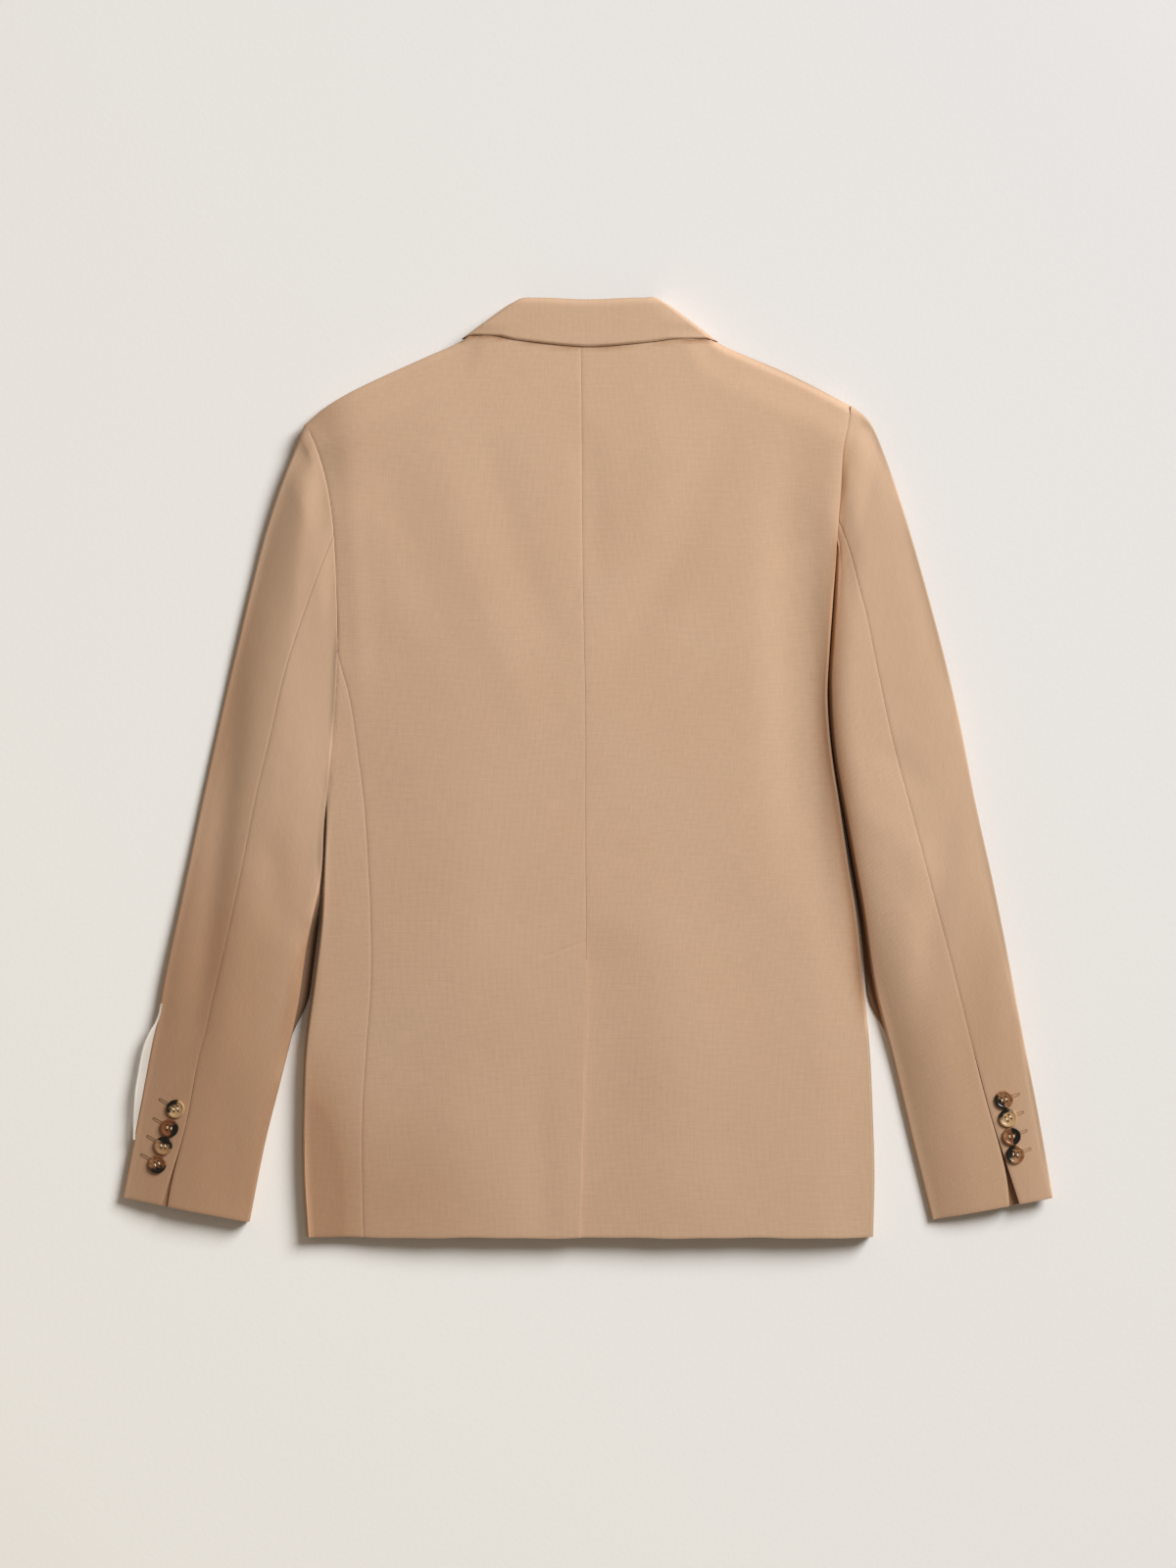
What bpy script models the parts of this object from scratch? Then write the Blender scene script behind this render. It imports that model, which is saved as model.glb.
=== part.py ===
"""Single-breasted blazer, laid flat on its front with its back up.

Metres, +Z up. The origin lies on the surface under the middle of the garment,
+Y points to the collar and -X to the wearer's left. The tables are in
millimetres. Every cloth piece is a wall lofted between an outer and an inner
skin; both skins come from the same formulas, so neighbours meet at a seam.
"""
import math
from collections import namedtuple

import bmesh
import bpy
from mathutils import Vector

MM = 0.001
COLLECTION = "blazer"

CLOTH = 2.0            # wall of the tailored cloth, with its canvas
LAPEL_CLOTH = 2.6      # a lapel is front and facing together
SEAM = 0.35            # gap between two pieces sewn edge to edge
LAY = 0.4              # gap between two pieces that lie on each other
ARMHOLE_GAP = 0.5      # how far a sleeve stands off the armhole's line

HEM_Y = -369.0         # back hem
FRONT_HEM_Y = -366.0   # front hem, just short of the back's
NECK_Y = 340.0         # neck seam at the centre back
ARMPIT_LEFT = 91.0
ARMPIT_RIGHT = 177.0
ARMHOLE_START_LEFT = 0.71    # share of the panel's side that lies below the armpit
ARMHOLE_START_RIGHT = 0.83
VENT_TOP = -134.0
VENT_LAP = 36.0        # width of the underlap of the centre vent

SHOULDER_EDGE = 15.0   # thickness along the shoulder seam
SHOULDER_MID = 7.5
SHOULDER_NOSE = 8.0    # how far in from the seam the shoulder rounds over
SHOULDER_ROLL = 34.0
SIDE_ROLL_LEFT = 64.0  # how far in from a side fold the body reaches full height
SIDE_ROLL_RIGHT = 50.0
SIDE_NOSE_LEFT = 7.0
SIDE_NOSE_RIGHT = 10.0
SLEEVE_NOSE = 8.0
SLEEVE_ROLL = 30.0
SLEEVE_REST = 35.0     # how far the left sleeve takes to come down off the side panel
SLEEVE_CLEAR = 1.5     # its clearance over the side panel
FOREARM_SEAM = 22.0    # forearm seam, in from the sleeve's inner fold

FRONT_LIFT = LAPEL_CLOTH + LAY       # fronts where lapels and buttons lie under them
OVERLAP_LIFT = CLOTH + LAY           # right front where it lies on the left one
CENTRE_FRONT = -28.0

# The body, by height up the back. fold: side edge. seam: back edge of the left
# side panel. front: seams under the fronts. edge: thickness at each side fold.
Body = namedtuple(
    "Body", "y fold_left seam_left front_left centre front_right fold_right"
            " edge_left edge_right crown")
BODY = [
    Body(-369, -221.5, -176.0, -153, -4.8, 102, 224.8, 9.0, 9.0, 16.5),
    Body(-320, -224.5, -177.0, -152, -3.7, 101, 225.7, 9.0, 9.0, 17.5),
    Body(-270, -224.5, -176.7, -151, -2.0, 99, 224.3, 9.0, 9.0, 18.5),
    Body(-220, -222.5, -173.5, -149, -1.5, 96, 221.8, 9.0, 9.0, 19.5),
    Body(-170, -216.0, -170.0, -147, -0.6, 92, 215.8, 9.0, 9.5, 20.0),
    Body(-120, -210.0, -170.0, -146, -0.8, 87, 211.0, 9.0, 10.0, 20.5),
    Body(-75, -208.3, -172.0, -146, -1.2, 83, 200.3, 9.0, 10.0, 21.0),
    Body(-30, -207.0, -175.0, -148, -1.3, 80, 193.5, 7.8, 10.5, 21.0),
    Body(15, -210.0, -180.5, -153, -1.3, 80, 187.5, 7.0, 11.0, 21.0),
    Body(55, -215.0, -186.5, -166, -1.5, 84, 183.0, 6.5, 12.0, 21.0),
    Body(91, -220.0, -195.6, -190, -2.2, 94, 185.5, 5.5, 13.0, 21.0),
    Body(130, -220.0, -195.6, -190, -3.0, 114, 190.5, 5.5, 15.0, 21.0),
    Body(177, -220.0, -195.6, -190, -3.7, 176, 196.0, 5.5, 17.0, 21.0),
    Body(260, -220.0, -195.6, -190, -4.2, 176, 196.0, 5.5, 17.0, 21.0),
    Body(340, -220.0, -195.6, -190, -5.0, 176, 196.0, 5.5, 17.0, 19.5),
]

# The shoulder seam, from each tip to the neck, and the armholes from the
# shoulder tip down to the armpit.
Spot = namedtuple("Spot", "x y")
SHOULDER_LEFT = [
    Spot(-222, 270.5), Spot(-206, 284), Spot(-181, 298.5), Spot(-130, 322),
    Spot(-108, 331.5), Spot(-98, 334.5), Spot(-86, 337),
]
SHOULDER_RIGHT = [
    Spot(206.7, 284.7), Spot(186, 296), Spot(156.6, 310.7), Spot(130, 322),
    Spot(110, 330), Spot(101, 332.5), Spot(88, 337),
]
NECKLINE_LEFT = [Spot(-86, 337), Spot(-78, 339.5), Spot(-60, 340), Spot(-5, NECK_Y)]
NECKLINE_RIGHT = [Spot(88, 337), Spot(80, 339.5), Spot(60, 340), Spot(-5, NECK_Y)]
ARMHOLE_LEFT = [
    Spot(-222, 270.5), Spot(-215.5, 258.5), Spot(-206.4, 231.4), Spot(-200.6, 201.4),
    Spot(-197.7, 162), Spot(-196.3, 124), Spot(-195.7, 91),
]
ARMHOLE_RIGHT = [
    Spot(206.7, 284.7), Spot(204.4, 268), Spot(200.6, 248), Spot(198.7, 217),
    Spot(197, 196), Spot(196, 177),
]

# Front edge, lapel roll line and neck of each front, from the hem up.
FRONT_EDGE_LEFT = [
    Spot(-60, -366), Spot(-32, -358), Spot(-13, -335), Spot(-8, -300), Spot(-8, -150),
    Spot(-8, -5), Spot(-30, 95), Spot(-53, 200), Spot(-75, 300), Spot(-86, 337),
]
FRONT_EDGE_RIGHT = [
    Spot(4, -366), Spot(-24, -358), Spot(-43, -335), Spot(-48, -300), Spot(-48, -150),
    Spot(-48, -5), Spot(-7, 95), Spot(37, 200), Spot(78, 300), Spot(88, 337),
]

# A lapel from its foot to its notch: the roll line and the outer edge.
Leaf = namedtuple("Leaf", "roll_x roll_y edge_x edge_y")
LAPEL_LEFT = [
    Leaf(-13, 6, -17, 4), Leaf(-25, 60, -47, 50), Leaf(-39, 122, -82, 105),
    Leaf(-54, 190, -114, 170), Leaf(-71, 262, -142, 233),
]
LAPEL_RIGHT = [
    Leaf(-12, 74, -6, 70), Leaf(8, 120, 30, 96), Leaf(29, 170, 66, 132),
    Leaf(46, 212, 100, 178), Leaf(67, 262, 134, 233),
]

# The collar as a band from the left front round the neck to the right front:
# its fold line, the fall's outer edge, and the stand's fold edge and neck seam.
Band = namedtuple("Band", "fold_x fold_y edge_x edge_y stand_x stand_y neck_x neck_y")
COLLAR_UNDER_LEFT = [
    Band(-73, 268, -118, 262, -63, 300, -73.5, 300),
    Band(-68, 306, -115, 292, -61, 312, -76.5, 311),
    Band(-61, 345, -106, 322, -57, 340, -81, 326),
    Band(-58, 367, -98.5, 338.5, -54, 363, -84.5, 341),
]
COLLAR_TOP = [
    Band(-58, 367, -98.5, 338.5, -54, 363, -84.5, 341),
    Band(-50, 369, -80, 341, -47, 365, -77, 340.4),
    Band(-31, 368.2, -55, 335.5, -30, 364.5, -50, 340.4),
    Band(0, 367, 0, 330.2, 0, 363.5, -2, 340.4),
    Band(34, 368.2, 50, 334, 33, 364.5, 50, 340.4),
    Band(53, 369, 82, 338, 50, 365, 79, 340.4),
    Band(61, 366, 102.5, 335, 57, 362, 87, 341),
]
COLLAR_UNDER_RIGHT = [
    Band(61, 366, 102.5, 335, 57, 362, 87, 341),
    Band(64, 345, 108, 320, 60, 340, 83.5, 326),
    Band(69, 306, 112, 292, 64, 312, 79, 311),
    Band(70, 268, 114, 262, 66, 300, 76.5, 300),
]
COLLAR_NOSE = 9.0
STAND_NOSE = 7.0
COLLAR_LAY = 0.8       # gap under the fall where it lies on the back
STAND_DROP = 1.6       # how far the stand lies below the back's face
FALL_RISE = 1.2        # the fall stands this much higher at its fold than at its edge

# A sleeve from the armhole to the cuff. out, in: outer and inner fold. seam,
# seam_under: back seam on the top and under sleeve, as a share of the way in.
# edge_out, thick, edge_in: thickness at the outer fold, between, at the inner fold.
Station = namedtuple(
    "Station", "out_x out_y in_x in_y seam seam_under edge_out thick edge_in")
SLEEVE_LEFT = [
    Station(-222, 270.5, -195.7, 91, 0.495, 0.495, 15, 20.0, 6),
    Station(-231, 248, -196.1, 82, 0.49, 0.49, 13, 20.0, 6),
    Station(-242, 220, -196.6, 72, 0.497, 0.497, 12, 20.0, 6),
    Station(-253.5, 185, -197.2, 60, 0.5, 0.5, 11, 19.5, 6),
    Station(-264, 145, -198.2, 44, 0.485, 0.485, 10, 19.0, 6.5),
    Station(-274.8, 100, -200.2, 20, 0.463, 0.463, 10, 18.5, 7),
    Station(-286.6, 50, -203, -12, 0.448, 0.448, 10, 18.0, 7.5),
    Station(-298.8, -5, -206.6, -45, 0.422, 0.422, 10, 18.0, 8),
    Station(-310.5, -60, -209.3, -88, 0.405, 0.405, 10, 18.0, 8.5),
    Station(-321.6, -112, -219.8, -137, 0.405, 0.405, 10, 18.0, 9),
    Station(-333, -165, -227.8, -190, 0.385, 0.385, 10, 18.0, 9),
    Station(-343.7, -222, -240.6, -243, 0.37, 0.37, 10, 17.0, 9),
    Station(-354.2, -278, -253.9, -296, 0.378, 0.388, 9.5, 16.0, 9),
    Station(-366, -338, -266, -357, 0.315, 0.36, 9, 15.0, 9),
]
SLEEVE_RIGHT = [
    Station(206.7, 284.7, 196, 177, 0.84, 0.84, 15, 18.0, 13),
    Station(222, 271, 195.3, 168, 0.808, 0.808, 14, 17.5, 13),
    Station(233.5, 245, 194.6, 158, 0.766, 0.766, 12.5, 17.5, 12.5),
    Station(244, 215, 193.9, 146, 0.728, 0.728, 12, 17.5, 12),
    Station(254.7, 180, 193.1, 130, 0.69, 0.69, 11, 17.5, 11.5),
    Station(266.2, 140, 191.8, 104, 0.626, 0.626, 10.5, 17.5, 11),
    Station(279, 92, 192, 64, 0.571, 0.571, 10, 18.0, 11),
    Station(292, 37, 195.9, 13, 0.535, 0.535, 10, 18.0, 11),
    Station(304.7, -28, 205.5, -48, 0.488, 0.488, 10, 18.0, 10.5),
    Station(318.5, -90, 216.3, -110, 0.454, 0.454, 10, 18.0, 10),
    Station(330.5, -150, 225.5, -170, 0.41, 0.41, 10, 18.0, 9.5),
    Station(342, -210, 240.5, -230, 0.393, 0.395, 10, 17.0, 9),
    Station(354, -270, 254.5, -289, 0.362, 0.37, 9.5, 16.0, 9),
    Station(366, -338, 271, -356, 0.28, 0.36, 9, 15.0, 9),
]
ARMHOLE_FADE = 0.4     # share of the sleeve over which the armhole's bow dies out
ARMHOLE_TURN = 0.1     # share over which its folds turn from the armhole's line

# Buttons: four on each cuff and two at the centre front.
CUFF_BUTTON = 14.4     # diameter
CUFF_BUTTON_THICK = 2.8
FRONT_BUTTON = 20.0
FRONT_BUTTON_THICK = 2.5
FRONT_BUTTON_YS = [-22.0, -125.0]
Row = namedtuple("Row", "x y step_x step_y")
CUFF_ROWS = {
    "left": Row(-323.6, -267.2, -4.65, -14.3),
    "right": Row(326.8, -260.6, 3.2, -14.55),
}

# The cuff label, down its length: how far it stands out of the sleeve's fold.
Strip = namedtuple("Strip", "share out")
LABEL = [
    Strip(0.0, 0.6), Strip(0.12, 2.2), Strip(0.3, 5.4), Strip(0.45, 6.8), Strip(0.62, 6.6),
    Strip(0.8, 5.0), Strip(1.0, 3.2),
]
LABEL_TOP_Y = -190.0
LABEL_BOTTOM_Y = -294.0
LABEL_THICK = 0.9
LABEL_INSET = 1.9      # width hidden under the sleeve's fold

Finish = namedtuple("Finish", "colour roughness")
WOOL = Finish((0.53, 0.37, 0.24), 0.9)
HORN = Finish((0.06, 0.035, 0.02), 0.35)
LABEL_WHITE = Finish((0.83, 0.81, 0.76), 0.85)


def smooth(share):
    """0 to 1 with soft ends."""
    share = min(max(share, 0.0), 1.0)
    return share * share * (3.0 - 2.0 * share)


def mix(low, high, share):
    return low + (high - low) * share


def cubic(knots, values, at):
    """A smooth curve through values at rising knots."""
    last = len(knots) - 1
    at = min(max(at, knots[0]), knots[last])
    i = 0
    while i < last - 1 and at > knots[i + 1]:
        i += 1

    def slope(k):
        low, high = max(k - 1, 0), min(k + 1, last)
        return (values[high] - values[low]) / (knots[high] - knots[low])

    width = knots[i + 1] - knots[i]
    t = (at - knots[i]) / width
    rise = values[i + 1] - values[i]
    return (values[i] + t * t * (3 - 2 * t) * rise
            + t * (1 - t) * (1 - t) * width * slope(i)
            - t * t * (1 - t) * width * slope(i + 1))


def body(column, y):
    """A column of the body's table at a height y."""
    knots = [row.y for row in BODY]
    values = [getattr(row, column) for row in BODY]
    return cubic(knots, values, y)


def along(rows, column, share):
    """A column of any table at a share of the way from its first row to its last."""
    knots = [k / (len(rows) - 1) for k in range(len(rows))]
    values = [getattr(row, column) for row in rows]
    return cubic(knots, values, share)


def path(spots, share):
    """The point at a share of the length of a smooth line through spots."""
    knots = [0.0]
    for a, b in zip(spots, spots[1:]):
        knots.append(knots[-1] + math.hypot(b.x - a.x, b.y - a.y))
    at = share * knots[-1]
    return Vector((cubic(knots, [s.x for s in spots], at), cubic(knots, [s.y for s in spots], at)))


def turned(angle, flat, mid, length, inset):
    """Reach in from a fold's edge, and height, at an angle round its nose.

    90 degrees is where the nose meets the piece's own flat face, 0 the edge.
    """
    reach = length * (1.0 - math.cos(angle)) + inset * math.cos(angle)
    half = abs(flat - mid) - inset
    side = 1.0 if flat >= mid else -1.0
    return reach, mid + side * half * math.sin(angle)


# ------------------------------------------------------------------ making walls

def material(name, finish):
    made = bpy.data.materials.get(name)
    if made is None:
        made = bpy.data.materials.new(name)
        made.use_nodes = True
        shader = made.node_tree.nodes["Principled BSDF"]
        shader.inputs["Base Color"].default_value = (*finish.colour, 1.0)
        shader.inputs["Roughness"].default_value = finish.roughness
        shader.inputs["Metallic"].default_value = 0.0
    return made


def add_object(name, mesh, slot, finish):
    piece = bpy.data.objects.new(name, mesh)
    mesh.materials.append(material(slot, finish))
    bpy.data.collections[COLLECTION].objects.link(piece)
    return piece


def wall(name, outer, inner, slot="cloth", finish=WOOL, keep=None):
    """A closed piece between two grids of points; keep(row, column) drops cells.

    Both skins are split along the same diagonals, which keeps the wall's thickness.
    """
    bm = bmesh.new()
    rows, columns = len(outer), len(outer[0])
    skins = [
        [[bm.verts.new(Vector(p) * MM) for p in row] for row in grid]
        for grid in (outer, inner)
    ]
    faces = []
    for i in range(rows - 1):
        for j in range(columns - 1):
            if keep is not None and not keep(i, j):
                continue
            ring = [(i, j), (i, j + 1), (i + 1, j + 1), (i + 1, j)]
            faces.append(bm.faces.new([skins[0][a][b] for a, b in ring]))
            bm.faces.new([skins[1][a][b] for a, b in ring[:1] + ring[:0:-1]])
    pair = {skins[0][i][j]: skins[1][i][j] for i in range(rows) for j in range(columns)}
    rim = [e for f in faces for e in f.edges if len(e.link_faces) == 1]
    for edge in rim:
        loop = edge.link_loops[0]
        a, b = loop.vert, loop.link_loop_next.vert
        bm.faces.new([b, a, pair[a], pair[b]])
    bmesh.ops.delete(bm, geom=[v for v in bm.verts if not v.link_faces], context="VERTS")
    bmesh.ops.recalc_face_normals(bm, faces=bm.faces)
    bmesh.ops.triangulate(bm, faces=bm.faces, quad_method="FIXED")
    mesh = bpy.data.meshes.new(name)
    bm.to_mesh(mesh)
    bm.free()
    if hasattr(mesh, "shade_smooth"):
        mesh.shade_smooth()
        mesh.set_sharp_from_angle(angle=math.radians(50))
    return add_object(name, mesh, slot, finish)


def two_skins(point, rows, columns):
    """Outer and inner grids of a piece whose point(row, column, inset) is known."""
    return [
        [[point(row, column, inset) for column in columns] for row in rows]
        for inset in (0.0, CLOTH)
    ]


# ------------------------------------------------------------------ the body's form

def reach_left(x, y):
    """Distance in from the left side fold; it opens out above the armpit."""
    return x - body("fold_left", min(y, ARMPIT_LEFT)) + 0.6 * max(0.0, y - ARMPIT_LEFT)


def reach_right(x, y):
    return body("fold_right", min(y, ARMPIT_RIGHT)) - x + 0.6 * max(0.0, y - ARMPIT_RIGHT)


def reach_shoulder(x, y):
    """Distance down from the shoulder seam; under the collar there is no edge."""
    seam = SHOULDER_LEFT if x < 0 else SHOULDER_RIGHT
    spots = sorted(seam, key=lambda s: s.x)
    top = cubic([s.x for s in spots], [s.y for s in spots], x)
    return (top - y) * 0.9 + 70.0 * smooth((96.0 - abs(x)) / 40.0)


def back_top(x, y):
    """Height of the back's outer face over the surface."""
    crown = body("crown", y)
    left = (crown - body("edge_left", y)) * (1 - smooth(reach_left(x, y) / SIDE_ROLL_LEFT))
    right = (crown - body("edge_right", y)) * (1 - smooth(reach_right(x, y) / SIDE_ROLL_RIGHT))
    shoulder = (crown - SHOULDER_EDGE) * (1 - smooth(reach_shoulder(x, y) / SHOULDER_ROLL))
    return crown - max(left, right, shoulder)


def vent_drop(x, y):
    """How far the right back panel dips to pass under the left one at the vent."""
    near = 1 - smooth((x - body("centre", y)) / 26.0)
    return (CLOTH + LAY) * near * smooth((VENT_TOP + 8.0 - y) / 24.0)


def front_base(side, x, y):
    """Height of a front's outer, lower face over the surface."""
    lapel = smooth((y + 80.0) / 50.0) * smooth((205.0 - abs(x)) / 35.0)
    if side == "left":
        return FRONT_LIFT * max(lapel, smooth((x + 100.0) / 42.0))
    edge = smooth((62.0 - x) / 42.0)
    over = smooth((44.0 - x) / 32.0) * (1 - smooth((y - 100.0) / 50.0))
    return FRONT_LIFT * max(lapel, edge) + OVERLAP_LIFT * over


def patch(bottom, top, left, right):
    """A point function over a field with four known edges."""
    corners = [bottom(0.0), bottom(1.0), top(0.0), top(1.0)]

    def at(u, v):
        across = mix(left(v), right(v), u)
        upward = mix(bottom(u), top(u), v)
        flat = mix(mix(corners[0], corners[1], u), mix(corners[2], corners[3], u), v)
        return across + upward - flat

    return at


def side_line(column, armhole, armpit, start, shift, hem=HEM_Y):
    """A panel's side: its seam up to the armpit, then the armhole to the shoulder."""
    def at(v):
        if v <= start:
            y = mix(hem, armpit, v / start)
            return Vector((body(column, y) + shift, y))
        spot = path(armhole, 1.0 - (v - start) / (1.0 - start))
        return spot + Vector((shift, 0.0))

    return at


def neck_rows(start, below, above):
    """Rows of a panel: heights up its sides, then the turn into the shoulder seam."""
    rows = [(start * (k / below), 90.0) for k in range(below + 1)]
    rows += [(mix(start, 1.0, k / above), 90.0) for k in range(1, above)]
    return rows + [(1.0, 90.0), (1.0, 55.0), (1.0, 27.0), (1.0, 0.0)]


def shoulder_point(field, u, row, inset, flat_height, mid, neck_share):
    """A panel's point, rounded over at its shoulder seam but not at its neck."""
    v, angle = row
    step = (field(u, 1.0) - field(u, 0.98)).length / 0.02
    if v < 1.0:
        spot = field(u, v)
        base = flat_height(spot.x, spot.y)
        return (spot.x, spot.y, base - inset if base >= mid else base + inset)
    open_edge = neck_share(u)
    angle = math.radians(mix(angle, 90.0, open_edge))
    reach, _ = turned(angle, 0.0, 0.0, SHOULDER_NOSE, inset)
    slide = (90.0 - row[1]) / 90.0 * open_edge * SHOULDER_NOSE
    back = SHOULDER_NOSE * open_edge - slide
    spot = field(u, 1.0 - (reach * (1 - open_edge) + back) / step)
    flat = flat_height(spot.x, spot.y)
    _, z = turned(angle, flat, mid, SHOULDER_NOSE, inset)
    return (spot.x, spot.y, z)


def neck_share(spots_shoulder, spots_neck, from_tip):
    """How far a column of a panel ends at the neck, where no seam rounds it over."""
    shoulder = sum(math.dist(a, b) for a, b in zip(spots_shoulder, spots_shoulder[1:]))
    neck = sum(math.dist(a, b) for a, b in zip(spots_neck, spots_neck[1:]))
    turn = shoulder / (shoulder + neck)

    def at(u):
        share = u if from_tip else 1.0 - u
        return smooth((share - turn + 0.02) / 0.05)

    return at


# ------------------------------------------------------------------ back panels

def make_back_left():
    """Left back panel, from the side seam and armhole to the centre seam."""
    side = side_line("seam_left", ARMHOLE_LEFT, ARMPIT_LEFT, ARMHOLE_START_LEFT, SEAM / 2)

    def centre(v):
        y = mix(HEM_Y, NECK_Y, v)
        return Vector((body("centre", y) - SEAM / 2, y))

    top_spots = SHOULDER_LEFT + NECKLINE_LEFT[1:]

    def top(u):
        return mix(path(top_spots, u), centre(1.0), smooth((u - 0.98) / 0.02))

    def hem(u):
        return mix(side(0.0), centre(0.0), u)

    field = patch(hem, lambda u: mix(side(1.0), top(u), smooth(u / 0.02)), side, centre)
    share = neck_share(SHOULDER_LEFT, NECKLINE_LEFT, True)

    def point(row, u, inset):
        return shoulder_point(field, u, row, inset, back_top, SHOULDER_MID + SEAM / 2, share)

    columns = [k / 9 for k in range(10)]
    wall("back_left", *two_skins(point, neck_rows(ARMHOLE_START_LEFT, 13, 6), columns))


def make_back_right():
    """Right back panel; it turns under at the side and laps under the left at the vent."""
    def side(v):
        spot = side_line("fold_right", ARMHOLE_RIGHT, ARMPIT_RIGHT, ARMHOLE_START_RIGHT, -SEAM / 2)(v)
        return spot - Vector((nose_right(spot.y), 0.0)) if v <= ARMHOLE_START_RIGHT else spot

    def centre(v):
        y = mix(HEM_Y, NECK_Y, v)
        return Vector((body("centre", y) + SEAM / 2, y))

    top_spots = SHOULDER_RIGHT + NECKLINE_RIGHT[1:]

    def top(u):
        return mix(centre(1.0), path(top_spots, 1.0 - u), smooth(u / 0.02))

    def hem(u):
        return mix(centre(0.0), side(0.0), u)

    field = patch(hem, lambda u: mix(top(u), side(1.0), smooth((u - 0.98) / 0.02)), centre, side)
    share = neck_share(SHOULDER_RIGHT, NECKLINE_RIGHT, False)

    def height(x, y):
        return back_top(x, y) - vent_drop(x, y)

    def point(row, column, inset):
        kind, value = column
        v, _ = row
        if kind == "field":
            return shoulder_point(field, value, row, inset, height, SHOULDER_MID + SEAM / 2, share)
        if kind == "vent":
            x, y = centre(v)
            return (x - value, y, height(x - value, y) - inset)
        y = side(v).y
        edge = body("edge_right", y)
        reach, z = turned(math.radians(value), edge, edge / 2, nose_right(y), inset)
        return (body("fold_right", y) - reach, y, z)

    columns = [("vent", VENT_LAP * k / 3) for k in (3, 2, 1)]
    columns += [("field", k / 9) for k in range(10)]
    columns += [("side", angle) for angle in (65.0, 38.0, 12.0, -18.0, -50.0)]
    rows = neck_rows(ARMHOLE_START_RIGHT, 13, 5)
    vent_row = sum(1 for v, _ in rows if mix(HEM_Y, NECK_Y, v) < VENT_TOP - 16.0) - 1

    def keep(i, j):
        if j < 3:
            return i < vent_row
        return j < 12 or i < 13

    wall("back_right", *two_skins(point, rows, columns), keep=keep)


def nose_right(y):
    """Reach of the right side fold's nose, tight at the armpit."""
    return mix(SIDE_NOSE_RIGHT, 4.0, smooth((y - ARMPIT_RIGHT + 50.0) / 50.0))


# ------------------------------------------------------------------ side panels

def make_side_left():
    """Left side panel: from the back seam on top, round the fold, to the front seam."""
    def point(y, column, inset):
        kind, value = column
        fold, edge = body("fold_left", y), body("edge_left", y)
        if kind == "top":
            x = mix(body("seam_left", y) - SEAM / 2, fold + SIDE_NOSE_LEFT, value)
            return (x, y, back_top(x, y) - inset)
        if kind == "under":
            x = mix(fold + SIDE_NOSE_LEFT, body("front_left", y) - SEAM / 2, value)
            return (x, y, front_base("left", x, y) + inset)
        flat = edge if value > 0 else 0.0
        reach, z = turned(math.radians(abs(value)), flat, edge / 2, SIDE_NOSE_LEFT, inset)
        return (fold + reach, y, z)

    columns = [("top", k / 3) for k in range(4)]
    columns += [("nose", angle) for angle in (60.0, 30.0, 0.0, -30.0, -60.0)]
    columns += [("under", k / 3) for k in range(4)]
    rows = [mix(HEM_Y, ARMPIT_LEFT, k / 13) for k in range(14)]
    wall("side_left", *two_skins(point, rows, columns))


def make_side_right():
    """Right side panel, wholly underneath."""
    def point(y, column, inset):
        kind, value = column
        fold, edge = body("fold_right", y), body("edge_right", y)
        nose = nose_right(y)
        if kind == "nose":
            reach, z = turned(math.radians(value), 0.0, edge / 2, nose, inset)
            return (fold - reach, y, z)
        x = mix(fold - nose, body("front_right", y) + SEAM / 2, value)
        return (x, y, front_base("right", x, y) + inset)

    columns = [("nose", 60.0), ("nose", 76.0)] + [("under", k / 5) for k in range(6)]
    rows = [mix(HEM_Y, ARMPIT_RIGHT, k / 13) for k in range(14)]
    wall("side_right", *two_skins(point, rows, columns))


# ------------------------------------------------------------------ fronts and lapels

def make_front(side):
    """One front: hem, side seam and armhole, shoulder, neck, roll line and front edge."""
    left = side == "left"
    armhole = ARMHOLE_LEFT if left else ARMHOLE_RIGHT
    armpit = ARMPIT_LEFT if left else ARMPIT_RIGHT
    start = ARMHOLE_START_LEFT if left else ARMHOLE_START_RIGHT
    shoulder = SHOULDER_LEFT if left else SHOULDER_RIGHT
    edge_spots = FRONT_EDGE_LEFT if left else FRONT_EDGE_RIGHT
    inward = 1.0 if left else -1.0
    seam = side_line("front_" + side, armhole, armpit, start, inward * SEAM / 2, FRONT_HEM_Y)

    def edge(v):
        return path(edge_spots, v)

    def hem(u):
        return mix(seam(0.0), edge(0.0), u)

    def top(u):
        return mix(mix(seam(1.0), path(shoulder, u), smooth(u / 0.02)), edge(1.0), smooth((u - 0.98) / 0.02))

    field = patch(hem, top, seam, edge)
    mid = SHOULDER_MID - SEAM / 2

    def base(x, y):
        return front_base(side, x, y)

    def point(row, u, inset):
        return shoulder_point(field, u, row, inset, base, mid, lambda _: 0.0)

    columns = [k / 7 for k in range(8)]
    wall("front_" + side, *two_skins(point, neck_rows(start, 13, 5), columns))


def make_lapel(side, leaves):
    """A lapel lies turned back between its front and the surface."""
    def grid(z):
        rows = []
        for k in range(9):
            share = k / 8
            roll = Vector((along(leaves, "roll_x", share), along(leaves, "roll_y", share)))
            edge = Vector((along(leaves, "edge_x", share), along(leaves, "edge_y", share)))
            rows.append([(*mix(roll, edge, u), z) for u in (0.0, 0.5, 1.0)])
        return rows

    wall("lapel_" + side, grid(LAPEL_CLOTH), grid(0.0))


# ------------------------------------------------------------------ collar

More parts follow.
